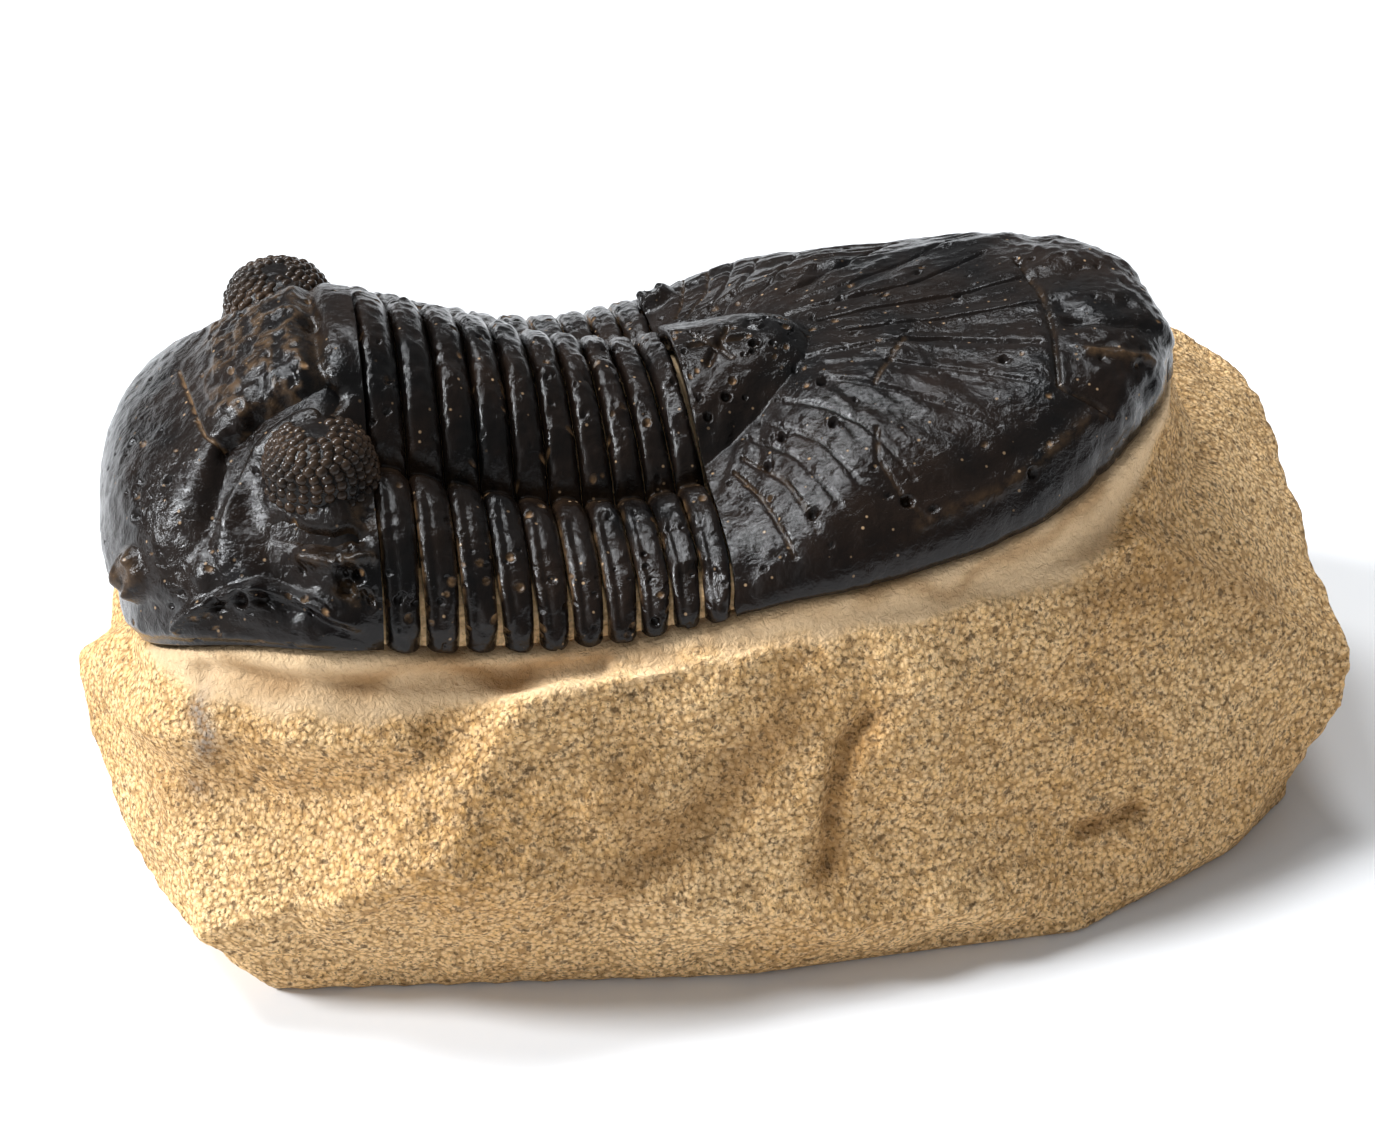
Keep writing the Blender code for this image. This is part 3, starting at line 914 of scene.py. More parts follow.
@dataclass
class Eye:
    """Turret of one eye, with domed lenses in staggered rows on its outward face."""

    side: Side
    middle: Place
    half: Place = (4.1, 4.4, 4.3)
    boxiness: float = 0.72
    lens_pitch: float = 0.90
    lens_radius: float = 0.48
    lens_rows: int = 13
    lens_turns: Span = (-50.0, 230.0)
    lens_rises: Span = (-32.0, 78.0)
    lens_margins: Span = (0.3, 0.2)
    lens_sink: float = 0.2
    probe: float = 0.02
    grid: tuple[int, int] = (90, 160)
    rises: Span = (-62.0, 88.0)
    texture: Texture = ((0.10, 1.6, 3),)
    seed: int = 21

    def place(self, turn: Array, rise: Array, grow: Array = 0.0) -> Array:
        """Point of the turret.

        Args:
            turn: Turn about its upright axis, in radians.
            rise: Rise above its middle, in radians.
            grow: Height above the smooth surface.

        Returns:
            Points with three coordinates on the last axis.
        """
        turn, rise = np.broadcast_arrays(turn, rise)
        flat = np.abs(np.cos(rise)) ** self.boxiness
        tall = np.sign(rise) * np.abs(np.sin(rise)) ** self.boxiness
        x = self.middle[0] + (self.half[0] + grow) * flat * np.cos(turn)
        y = self.middle[1] + (self.half[1] + grow) * flat * np.sin(turn)
        z = self.middle[2] + (self.half[2] + grow) * tall
        return np.stack([x, self.side.value * y, z], -1)

    def build_turret(self) -> Object:
        """Make the smooth body of the eye.

        Returns:
            The finished piece.
        """
        rows, columns = self.grid
        turn = np.linspace(0, 2 * np.pi, columns, endpoint=False)[None, :]
        rise = np.radians(np.linspace(*self.rises, rows))[:, None]
        grow = Grain(self.seed).texture(self.place(turn, rise), self.texture)
        solid = SolidMaker()
        ids = solid.add(self.place(turn, rise, grow))
        solid.sheet(ids, closed=True)
        for row, angle in ((ids[0], -np.pi / 2), (ids[-1], np.pi / 2)):
            tip = solid.add(self.place(np.array([0.0]), np.array([angle])))
            solid.fan(row, int(tip[0]))
        return solid.finish(f"eye_{self.side.name.lower()}")

    def lens_seats(self) -> tuple[Array, Array]:
        """Seats of the lenses, row by row.

        Returns:
            Their places and their outward directions.
        """
        places, ways = [], []
        turns = np.radians(np.linspace(*self.lens_turns, 400))
        for row, degrees in enumerate(np.linspace(*self.lens_rises, self.lens_rows)):
            rise = math.radians(degrees)
            walk = self.place(turns, np.full(len(turns), rise))
            steps = np.linalg.norm(np.diff(walk, axis=0), axis=1)
            reach = np.concatenate(([0], np.cumsum(steps)))
            start = self.lens_pitch * (0.5 if row % 2 else 0.0) + self.lens_margins[0]
            for at in np.arange(start, reach[-1] - self.lens_margins[1], self.lens_pitch):
                turn = np.interp(at, reach, turns)
                here, ahead, above = self.place(
                    turn + np.array([0, self.probe, 0]), rise + np.array([0, 0, self.probe])
                )
                way = np.cross(ahead - here, above - here) * self.side.value
                way /= np.linalg.norm(way)
                places.append(here - self.lens_sink * way)
                ways.append(way)
        return np.array(places), np.array(ways)

    def build_lenses(self, material: Material) -> Object:
        """Set a small dome on every seat with a node tree, then keep the plain mesh.

        Args:
            material: Finish of the lenses.

        Returns:
            The finished piece.
        """
        places, ways = self.lens_seats()
        name = f"lenses_{self.side.name.lower()}"
        mesh = bpy.data.meshes.new(name)
        mesh.from_pydata(((places + SHIFT) * MM).tolist(), [], [])
        way = mesh.attributes.new("way", "FLOAT_VECTOR", "POINT")
        way.data.foreach_set("vector", ways.reshape(-1))
        piece = new_object(name, mesh)
        modifier = piece.modifiers.new("lenses", "NODES")
        modifier.node_group = lens_tree()
        values = {"Radius": self.lens_radius * MM, "Seed": self.seed, "Finish": material}
        for item in modifier.node_group.interface.items_tree:
            if item.item_type == "SOCKET" and item.in_out == "INPUT" and item.name in values:
                modifier[item.identifier] = values[item.name]
        settle_mesh(piece)
        return piece

    def build(self, shell: Material, lens: Material) -> None:
        """Make the eye's body and its lenses and hand both over."""
        hand_over(self.build_turret(), shell, "cephalon")
        hand_over(self.build_lenses(lens), lens, "cephalon")


@cache
def lens_tree() -> NodeTree:
    """Node tree that sets a dome on every point, turned along the point's way.

    Returns:
        The tree, with the inputs Radius, Seed and Finish.
    """
    tree = bpy.data.node_groups.new("lens domes", "GeometryNodeTree")
    for label, way, kind in (
        ("Geometry", "INPUT", "Geometry"), ("Radius", "INPUT", "Float"), ("Seed", "INPUT", "Int"),
        ("Finish", "INPUT", "Material"), ("Geometry", "OUTPUT", "Geometry"),
    ):
        tree.interface.new_socket(label, in_out=way, socket_type=f"NodeSocket{kind}")
    start = tree.nodes.new("NodeGroupInput").outputs
    dome = add_node(
        tree, "GeometryNodeMeshUVSphere", {"Segments": 10, "Rings": 7, "Radius": start["Radius"]}
    )
    stored = tree.nodes.new("GeometryNodeInputNamedAttribute")
    stored.data_type = "FLOAT_VECTOR"
    stored.inputs["Name"].default_value = "way"
    turn = tree.nodes.new("FunctionNodeAlignRotationToVector")
    turn.axis = "Z"
    feed(tree, turn, {"Vector": stored.outputs["Attribute"]})
    size = tree.nodes.new("FunctionNodeRandomValue")
    size.data_type = "FLOAT"
    feed(tree, size, {2: 0.86, 3: 1.08, "Seed": start["Seed"]})
    domes = add_node(tree, "GeometryNodeInstanceOnPoints", {
        "Points": start["Geometry"], "Instance": dome.outputs["Mesh"],
        "Rotation": turn.outputs["Rotation"], "Scale": size.outputs[1],
    })
    values = {"Geometry": domes.outputs["Instances"]}
    real = add_node(tree, "GeometryNodeRealizeInstances", values)
    values = {"Geometry": real.outputs["Geometry"], "Material": start["Finish"]}
    paint = add_node(tree, "GeometryNodeSetMaterial", values)
    add_node(tree, "NodeGroupOutput", {"Geometry": paint.outputs["Geometry"]})
    return tree


@dataclass
class TailShield:
    """Tail shield: a dished plate with ribs that fan out from the end of the axis."""

    back: Back
    round_x: float = 4.0
    length: float = 33.8
    plan_power: float = 2.0
    lobe_end: float = 9.2
    lobe_rise: float = 4.8
    lobe_overhang: float = 1.0
    lobe_taper: float = 0.7
    lobe_arch: float = 1.8
    crest: Stations = (
        (-1, 33.6), (3, 35.6), (8, 38.2), (14, 39.1), (22, 39.8), (28, 40.6), (32, 40.9),
        (34.6, 40.5), (36.6, 39.0), (37.8, 36.0),
    )
    power: Stations = ((4, 2.3), (18, 2.4), (30, 2.9), (37, 3.4))
    marks: tuple[Mark, ...] = (
        Mark(((7.8, 1.3), (6.3, 3.5), (4, 6), (2.1, 7.9), (0.2, 9.2)), 0.9, 0.15, 0.0, True),
        Mark(((0.1, -0.6), (3.9, -0.8)), 0.28, 0.45, 0.06),
        Mark(((1.0, -2.9), (3.2, 0.9)), 0.28, 0.45, 0.06),
        Mark(((0.6, 0.9), (2.8, -2.6)), 0.25, 0.4, 0.06),
        Mark(((4.5, 0.5), (5.0, 1.3), (5.9, 1.1), (6.1, 0.2), (5.4, -0.3), (4.5, 0.5)), 0.2, 0.25),
        Mark(((5.9, 7.1), (8.4, 9.7), (10.8, 12.8), (13.0, 17.5)), 0.17, 0.26, 0.0, True),
        Mark(((9.1, 6.6), (14.0, 9.7), (16.6, 11.6), (20, 14.5)), 0.18, 0.32, 0.0, True),
        Mark(((8.3, 3.3), (15.7, 3.7), (18.8, 4.2), (25.2, 7.3)), 0.18, 0.3, 0.0, True),
        Mark(((9.5, 4.9), (14, 6.0), (19, 8.4), (23.5, 11.2)), 0.15, 0.2, 0.0, True),
        Mark(((12.4, -1.0), (18.0, -1.6), (26.7, -2.3)), 0.18, 0.26),
        Mark(((10.5, 1.2), (18.0, 1.4), (26.5, 1.8)), 0.16, 0.24),
        Mark(((3.9, 7.7), (7.3, 12.7), (9.0, 17.0)), 0.17, 0.26, 0.0, True),
        Mark(((2.7, 8.5), (5.4, 13.0), (7.4, 18.4)), 0.18, 0.26, 0.0, True),
        Mark(((1.2, 11.5), (2.4, 15.0), (3.7, 20.6)), 0.16, 0.28, 0.08, True),
        Mark(((2.0, 10.5), (4.2, 14.5), (5.6, 19.6)), 0.16, 0.24, 0.05, True),
        Mark(((15.9, -3.5), (14.1, -6.0), (12.4, -8.3)), 0.13, 0.22, 0.12),
        Mark(((11.4, -13.0), (10.8, -15.6), (11.9, -18.6), (13.4, -20.0)), 0.16, 0.26, 0.06),
        Mark(
            ((27.0, 5.0), (27.2, -1.3), (26.4, -6.6), (25.2, -12.0), (28.7, -14.0)),
            0.2, 0.45, 0.05,
        ),
        Mark(((13.0, -20.2), (19.0, -18.6), (22.8, -16.8), (27.5, -14.2)), 0.5, -0.15, 0.05),
        Mark(((12.0, -19.0), (18.4, -17.6), (22.2, -15.8), (26.3, -13.6)), 0.7, 0.1),
        Mark(((28.5, -9.0), (31.5, -9.8), (33.5, -9.6)), 0.4, -0.4, 0.15),
        Mark(((28.0, -5.0), (31.0, -6.2), (34.0, -6.6)), 0.5, 0.4),
    )
    named_pits: tuple[Pit, ...] = (
        Pit((8.8, -7.0), 0.42, 0.6), Pit((8.6, -11.5), 0.42, 0.6), Pit((5.0, -10.5), 0.42, 0.6),
        Pit((3.5, -12.5), 0.38, 0.5), Pit((5.5, -18.3), 0.42, 0.6), Pit((12.2, -18.9), 0.45, 0.6),
        Pit((22.2, -8.3), 0.4, 0.5), Pit((21.4, 1.2), 0.4, 0.5), Pit((21.7, -17.6), 0.4, 0.5),
        Pit((4.7, -1.9), 0.38, 0.5), Pit((1.8, -5.8), 0.36, 0.5), Pit((0.2, -6.9), 0.32, 0.4),
    )
    columns: int = 200
    rings: int = 134
    ring_power: float = 1.5
    inner_ring: float = 0.97
    columns_under: int = 30
    rings_under: tuple[float, ...] = (1.0, 0.93, 0.75, 0.45)
    fan_centre: float = 6.0
    fold_stretch: Span = (0.16, 9.0)
    string_stretch: Span = (0.12, 0.9)
    fold_pitch: float = 0.9
    rear_band: Span = (25.5, 28.5)
    fold_lift: float = 0.15
    string_lift: float = 0.22
    texture: Texture = ((0.14, 5.0, 3), (0.04, 0.8, 2))
    rear_texture: Texture = ((0.26, 2.2, 3),)
    rear_drop: float = 0.2
    rim_lift: float = 0.05
    lump_place: Span = (0.6, 17.0)
    lump_reach: Span = (2.2, 0.9)
    pits: Pitting = (170, 0.29, 0.3)
    seed: int = 5

    def half_width(self, x: Array, inset: float = 0.0) -> Array:
        """Half-width in plan.

        Args:
            x: Station along the animal.
            inset: Depth under the outer surface.

        Returns:
            The half-width at each station.
        """
        share = np.clip((x - self.round_x) / (self.length - inset), 0, 1)
        bend = self.plan_power
        return (self.back.half_width - inset) * (1 - share**bend) ** (1 / bend)

    def height(self, x: Array, y: Array, inset: float = 0.0) -> Array:
        """Height of the plate, with the raised end of the axis at its front.

        Args:
            x: Station along the animal.
            y: Sideways place.
            inset: Depth under the outer surface.

        Returns:
            The height at each place.
        """
        margin = curve(self.back.margin, x)
        crest = np.maximum(curve(self.crest, x + inset * ease(20, 38, x)) - inset, margin)
        half = np.maximum(self.half_width(x, inset), 1e-6)
        share = np.clip(np.abs(y) / half, 0, 1)
        power = curve(self.power, x)
        height = margin + (crest - margin) * (1 - share**power) ** (1 / power)
        taper = np.clip((self.lobe_end - x) / (self.lobe_end - self.back.rear), 0, 1)
        width = np.maximum(curve(self.back.axis, self.back.rear) * np.sqrt(taper), 1e-6)
        lobe = taper**self.lobe_taper * arch(y / width, 2.0) ** self.lobe_arch
        return height + self.lobe_rise * lobe

    def outline(self, columns: int, inset: float = 0.0) -> Array:
        """Plan of the plate, anticlockwise from its rear point.

        Args:
            columns: Number of points on a quarter of it.
            inset: Depth under the outer surface.

        Returns:
            Points in plan, one per row.
        """
        arc = np.radians(np.linspace(0, 90, columns + 1))
        reach, half = self.length - inset, self.back.half_width - inset
        bend = 2 / self.plan_power
        x = self.round_x + reach * np.clip(np.cos(arc), 0, 1) ** bend
        rear = np.column_stack([x, half * np.sin(arc) ** bend])
        back = self.back
        shares = np.linspace(-1, 1, 2001)
        even = half * np.linspace(1, -1, 2 * columns // 3 * 2 + 1)
        v = np.interp(even, back.across(back.rear, shares, inset), shares)
        y = back.across(back.rear, v, inset)
        z = back.height(back.rear, y, inset)
        tip = ease(back.tip_start, 1.0, np.abs(v)) ** 2
        x = back.rear + SEAM + curve(back.lean, back.rear) * (z - back.furrow_height)
        front = np.column_stack([x + curve(back.sweep, back.rear) * tip, y])
        side = np.linspace(rear[-1], front[0], columns // 7 + 2)[1:-1]
        near = (1, -1)
        return np.vstack([rear, side, front, side[::-1] * near, rear[:0:-1] * near])

    def grid(self, rings: Array, columns: int, inset: float = 0.0) -> Array:
        """Rows of points from the outline to a spot under the tip of the axis lobe.

        Args:
            rings: Distance of each row from that spot, as a share of the outline's.
            columns: Number of points on a quarter of the outline.
            inset: Depth under the outer surface.

        Returns:
            Grid of points.
        """
        outline = self.outline(columns, inset)
        centre = np.array([self.lobe_end - self.lobe_overhang, 0.0])
        plan = centre + (outline - centre) * rings[:, None, None]
        z = self.height(plan[..., 0], plan[..., 1], inset)
        return np.concatenate([plan, z[..., None]], -1)

    def spot(self, x: Array, y: Array) -> Array:
        """Point of the surface above a place in plan."""
        x, y = np.broadcast_arrays(np.asarray(x, float), np.asarray(y, float))
        return np.stack([x, y, self.height(x, y)], -1)

    def relief(self, base: Array) -> Relief:
        """Fan of ribs, wrinkles, pits and the coarse rear band.

        Args:
            base: Grid of surface points.

        Returns:
            The relief.
        """
        grain = Grain(self.seed)
        relief = Relief(np.zeros(base.shape[:-1]), np.zeros(base.shape[:-1]))
        x, y = base[..., 0], base[..., 1]
        reach = np.hypot(x - self.fan_centre, y)
        bearing = np.arctan2(y, x - self.fan_centre)
        half = np.maximum(self.half_width(x), 0.1)
        share = np.clip(np.abs(y) / half, 0, 1)
        rear = ease(*self.rear_band, x)
        out, around = self.fold_stretch
        folds = np.stack([reach * out, bearing * around, 0 * x], -1)
        folds = grain.layers(folds, self.fold_pitch, 2)
        relief.lift += self.fold_lift * folds * ease(4, 11, reach) * (1 - 0.5 * rear)
        relief.lift += grain.texture(base, self.texture)
        relief.lift += rear * (grain.texture(base, self.rear_texture) - self.rear_drop)
        along, across = self.string_stretch
        strings = np.stack([x * along, y * across, 0 * x], -1)
        strings = grain.layers(strings, self.fold_pitch, 2)
        relief.lift += self.string_lift * strings * ease(4, 12, y) * (1 - rear)
        for mark in self.marks:
            relief.press(base, self.spot, mark)
        for pit in self.named_pits:
            relief.dent(base, self.spot, pit)
        relief.lift -= self.rim_lift * bell(share - 0.965, 0.018) * ease(2, 6, x)
        relief.lift += self.rim_lift * bell(share - 0.92, 0.03) * ease(8, 14, x)
        from_lump = np.linalg.norm(base - self.spot(*self.lump_place), axis=-1)
        relief.lift += ease(*self.lump_reach, from_lump) * (1.0 + 0.5 * grain.layers(base, 1.0, 2))
        relief.pits(base, self.seed, *self.pits)
        return relief

    def build(self, material: Material) -> None:
        """Make the plate and hand it over.

        Args:
            material: Its finish.
        """
        rings = 1 - np.linspace(0, 1, self.rings) ** self.ring_power * self.inner_ring
        base = self.grid(rings, self.columns)
        normal = grid_normals(base)
        normal *= np.where(normal[..., 2:] < 0, -1.0, 1.0)
        relief = self.relief(base)
        solid = SolidMaker()
        top = solid.add(base + normal * relief.lift[..., None], relief.dust)
        inner = self.grid(np.array(self.rings_under), self.columns_under, SHELL_THICKNESS)
        under = solid.add(inner)
        solid.sheet(top, closed=True)
        solid.sheet(under, closed=True)
        for rows, inset in ((top, 0.0), (under, SHELL_THICKNESS)):
            x = self.lobe_end - self.lobe_overhang
            tip = solid.add(np.array([[x, 0.0, float(self.height(x, 0.0, inset))]]))
            solid.fan(rows[-1], int(tip[0]))
        solid.strip(np.append(top[0], top[0][0]), np.append(under[0], under[0][0]))
        hand_over(solid.finish("tail_shield"), material, "pygidium")


@dataclass
class RockBlock:
    """Block of limestone: the frame's own solid, weathered.

    The cuts are pressed into it, and the stains colour it, with painted shade along the foot of the
    wall under the shell's near edge. Both are lines in space.
    """

    back: Back
    tail: TailShield
    voxel: float = 0.52
    softening: tuple[int, float] = (3, 0.5)
    head_start: float = -25.5
    head_length: float = 19.3
    head_power: float = 2.2
    ends: Span = (-44.8, 37.8)
    beyond_ends: float = 9.0
    texture: Texture = ((0.70, 13.0, 3), (0.34, 3.4, 2), (0.16, 1.2, 2))
    step_edge: tuple[Span, Span] = ((3.6, 2.2), (-0.7, 0.6))
    step_waver: float = 0.5
    foot: Span = (0.15, 1.2)
    core: tuple[Span, Span] = ((-1.0, -2.6), (24.0, 27.0))
    step_lift: float = 0.06
    trench: tuple[float, float, float] = (0.45, 1.5, 1.0)
    outward_share: float = 0.75
    core_drop: float = 0.9
    wander: float = 1.2
    cuts: tuple[Mark, ...] = (
        Mark(
            ((8.2, -25.6, 20.9), (6.6, -26.1, 19.7), (5.7, -27.1, 17.1), (5.3, -28.1, 14.3)),
            0.8, 1.0,
        ),
        Mark(((5.3, -28.1, 14.3), (5.0, -29.4, 10.8)), 0.7, 0.6),
        Mark(((25.7, -26.3, 8.3), (27.9, -25.7, 8.3), (30.1, -24.9, 8.6)), 0.6, 1.0),
        Mark(
            ((21.8, -23.4, 19.2), (26, -22.8, 17.6), (29.4, -22.4, 15.9), (32, -22.4, 14)),
            0.5, 0.4,
        ),
        Mark(
            ((-13.8, -24.6, 26.2), (-23.4, -26.1, 19.2), (-27.3, -27.4, 14.9), (-31.2, -26.6, 9.1)),
            1.8, -0.5,
        ),
        Mark(((-12.2, -29.9, 10.7), (-7.7, -29.1, 13.5), (-1.5, -27.1, 18.3)), 2.6, 0.6),
        Mark(
            (
                (-38.2, -17.5, 26.1), (-32.8, -20.9, 26.8), (-27.4, -22.3, 26.7),
                (-22.6, -22.4, 26.6), (-16.3, -22.3, 26.1), (-10.6, -22.2, 26.7),
            ),
            0.8, 0.9,
        ),
    )
    stains_and_shade: tuple[Mark, ...] = (
        Mark(
            ((-12.2, -29.9, 10.7), (-7.7, -29.1, 13.5), (-1.5, -27.1, 18.3), (2.4, -25.5, 21.9)),
            2.6, 0.8,
        ),
        Mark(((-10.2, -27.3, 18.9), (-7.5, -28.4, 15.7), (-5.5, -29.3, 12.8)), 2.2, 0.6),
        Mark(((8.2, -25.6, 20.9), (5.7, -27.1, 17.1), (5.0, -29.4, 10.8)), 1.5, 0.95),
        Mark(((25.7, -26.3, 8.3), (30.1, -24.9, 8.6)), 1.0, 0.8),
        Mark(((-43.1, -15.2, 13.3), (-35.4, -21.6, 21.8)), 2.4, 0.35),
        Mark(((27.1, -19.8, 25.0), (35.9, -16.8, 25.3), (41.1, -17.2, 21.2)), 2.6, 0.55),
        # Painted shade: these three dark brown lines along the foot of the wall under the shell's
        # near edge stand in for the shadow there.
        Mark(((-36.5, -19.0, 26.4), (-27.4, -22.3, 26.6), (-16.3, -22.5, 26.2)), 1.2, 1.0),
        Mark(((-16.3, -22.5, 25.9), (-3.4, -22.4, 27.4), (7.4, -22.2, 28.9)), 0.7, 0.45),
        Mark(((7.4, -22.2, 28.9), (19.0, -20.4, 29.2), (27.7, -16.0, 31.6)), 0.9, 0.7),
    )
    cleaned: Stations = (
        (-42, 24.2), (-31.7, 25.0), (-22.8, 24.4), (-15.3, 25.7), (-8, 26.6), (8.7, 27.4),
        (18.8, 27.2), (25.5, 27.4), (30.7, 29.9), (34.3, 32.1), (40, 33.0),
    )
    specks: Mark = Mark(
        ((-38.8, -18.0, 24.1), (-38.4, -20.1, 22.1), (-39.3, -17.7, 16.6)), 0.9, 1.0
    )
    seed: int = 9

    def build(self, material: Material) -> None:
        """Weather a merged copy of the solid and hand it over.

        Args:
            material: Its finish.
        """
        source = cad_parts["matrix"].data.copy()
        bm = bmesh.new()
        bm.from_mesh(source)
        bmesh.ops.remove_doubles(bm, verts=bm.verts, dist=SolidMaker.COLLAPSE * MM)
        bm.to_mesh(source)
        bm.free()
        piece = new_object("limestone_block", source)
        remesh = piece.modifiers.new("even", "REMESH")
        remesh.mode = "VOXEL"
        remesh.voxel_size = self.voxel * MM
        smooth = piece.modifiers.new("soften", "SMOOTH")
        smooth.iterations, smooth.factor = self.softening
        mesh = settle_mesh(piece)
        bpy.data.meshes.remove(source)
        mesh.name = piece.name
        self.weather(mesh)
        hand_over(piece, material, "matrix")

    def outside(self, x: Array, y: Array) -> Array:
        """Distance outside the animal's plan.

        Args:
            x: Station along the animal.
            y: Sideways place.

        Returns:
            The distance in millimetres, below 0 under the animal.
        """
        share = np.clip((self.head_start - x) / self.head_length, 0, 1)
        front = self.back.half_width * np.sqrt(1 - share**self.head_power)
        out = np.abs(y) - np.where(x < self.head_start, front, self.tail.half_width(x))
        return np.where((x > self.ends[1]) | (x < self.ends[0]), self.beyond_ends, out)

    def weather(self, mesh: Mesh) -> None:
        """Roughen the broken faces, and leave the cleaned step and the underside smooth.

        Args:
            mesh: Mesh of the block, which is changed.
        """
        count = len(mesh.vertices)
        co, normal = np.empty(count * 3), np.empty(count * 3, np.float32)
        mesh.vertices.foreach_get("co", co)
        mesh.vertex_normals.foreach_get("vector", normal)
        points = co.reshape(-1, 3) / MM - SHIFT
        normal = normal.reshape(-1, 3).astype(float)
        grain = Grain(self.seed)
        x, y, z = points.T
        out = self.outside(x, y)
        lowest = curve(self.cleaned, x) + self.step_waver * grain.layers(points, 3.0, 2)
        sideways, upward = self.step_edge
        step = ease(*sideways, out) * ease(*upward, z - lowest)
        lift = grain.texture(points, self.texture) * (1 - step)
        lift += self.step_lift * step * grain.sample(points, 2.2)
        depth, place, width = self.trench
        lift -= depth * bell(out - place, width) * step
        lift = np.where(lift > 0, lift * self.outward_share, lift)
        sideways, upward = self.core
        lift -= self.core_drop * ease(*sideways, out) * ease(*upward, z)
        for mark in self.cuts:
            lift -= mark.depth * bell(line_distance(points, np.array(mark.line)), mark.width)
        moved = points + normal * (lift * ease(*self.foot, z))[:, None]
        moved[:, 2] = np.maximum(moved[:, 2], 0.0)
        mesh.vertices.foreach_set("co", ((moved + SHIFT) * MM).reshape(-1))
        wander = points + self.wander * grain.layers(points, 4.0, 2)[:, None]
        set_values(mesh, "step", step)
        # The stain values hold the real stains and also the painted shade under the shell's near
        # edge.
        for label, marks in (("stain_and_shade", self.stains_and_shade), ("speck", (self.specks,))):
            masks = [
                mark.depth * bell(line_distance(wander, np.array(mark.line)), mark.width)
                for mark in marks
            ]
            set_values(mesh, label, np.max(masks, axis=0))


@dataclass
class RibBed:
    """Rock that shows between the rib tips, just under the shell's surface."""

    back: Back
    inset: float = 1.0
    depth: float = 1.4
    overlap: Span = (0.6, 1.0)
    span: Span = (0.74, 1.0)
    dip: Span = (0.88, 0.76)
    grid: tuple[int, int] = (170, 80)
    thin: int = 10
    texture: Texture = ((0.10, 1.5, 2),)
    paleness: float = 0.5
    seed: int = 17

    def build(self, material: Material) -> None:
        """Make one curved strip on each side and hand both over.

        Args:
            material: Their finish.
        """
        ends = (self.back.front - self.overlap[0], self.back.rear + self.overlap[1])
        s = np.linspace(*ends, self.grid[0])[:, None]
        for side in Side:
            v = side.value * np.linspace(*self.span, self.grid[1])[None, :]
            base = self.back.point(s, v, self.inset)
            lift = Grain(self.seed).texture(base, self.texture) - ease(*self.dip, np.abs(v))
            solid = SolidMaker()
            top = solid.add(self.back.point(s, v, self.inset, lift))
            few = (s[:: self.thin], v[:, :: self.thin])
            solid.wrap(top, solid.add(self.back.point(*few, self.inset + self.depth)))
            piece = solid.finish(f"rib_bed_{side.name.lower()}")
            pale = np.full(len(piece.data.vertices), self.paleness)
            set_values(piece.data, "step", pale)
            hand_over(piece, material, "matrix")


# Finishes


def add_math(tree: NodeTree, operation: str, *values: object) -> NodeSocket:
    """Add a calculation.

    Args:
        tree: Tree that it goes into.
        operation: Name of the calculation, such as MULTIPLY.
        values: Numbers or output sockets, in the order of the inputs.

    Returns:
        Its result.
    """
    node = tree.nodes.new("ShaderNodeMath")
    node.operation = operation
    return feed(tree, node, dict(enumerate(values))).outputs[0]


def add_blend(
    tree: NodeTree, share: object, first: object, second: object, kind: str = "FLOAT"
) -> NodeSocket:
    """Add a blend of two numbers or colours.

    Args:
        tree: Tree that it goes into.
        share: Share of the second one.
        first: First number or colour.
        second: Second number or colour.
        kind: FLOAT for numbers and RGBA for colours.

    Returns:
        The blend.
    """
    node = tree.nodes.new("ShaderNodeMix")
    node.data_type = kind
    return feed(tree, node, {"Factor": share, "A": first, "B": second}).outputs["Result"]


def add_range(tree: NodeTree, value: object, source: tuple, target: Span = (0, 1)) -> NodeSocket:
    """Add a stretch of a number from one range to another.

    Args:
        tree: Tree that it goes into.
        value: Number to stretch.
        source: Low and high end of its own range.
        target: Low and high end of the new range.

    Returns:
        The stretched number.
    """
    values = {
        "Value": value, "From Min": source[0], "From Max": source[1],
        "To Min": target[0], "To Max": target[1],
    }
    return add_node(tree, "ShaderNodeMapRange", values).outputs["Result"]


def object_place(tree: NodeTree) -> NodeSocket:
    """Place on the object, for the textures."""
    return tree.nodes.new("ShaderNodeTexCoord").outputs["Object"]


def stored_value(tree: NodeTree, name: str) -> NodeSocket:
    """Read a value that a mesh stores at its points.

    Args:
        tree: Tree of the material.
        name: Name of the value.

    Returns:
        The value.
    """
    node = tree.nodes.new("ShaderNodeAttribute")
    node.attribute_name = name
    return node.outputs["Fac"]


def add_group(name: str, inputs: dict, outputs: dict) -> Group:
    """Make an empty shader group.

    Args:
        name: Name of the group.
        inputs: Socket names with their types and defaults.
        outputs: Socket names with their types.

    Returns:
        The tree and its input and output nodes.
    """
    tree = bpy.data.node_groups.new(name, "ShaderNodeTree")
    for label, (kind, value) in inputs.items():
        socket = tree.interface.new_socket(label, in_out="INPUT", socket_type=kind)
        socket.default_value = value
    for label, kind in outputs.items():
        tree.interface.new_socket(label, in_out="OUTPUT", socket_type=kind)
    return tree, tree.nodes.new("NodeGroupInput"), tree.nodes.new("NodeGroupOutput")


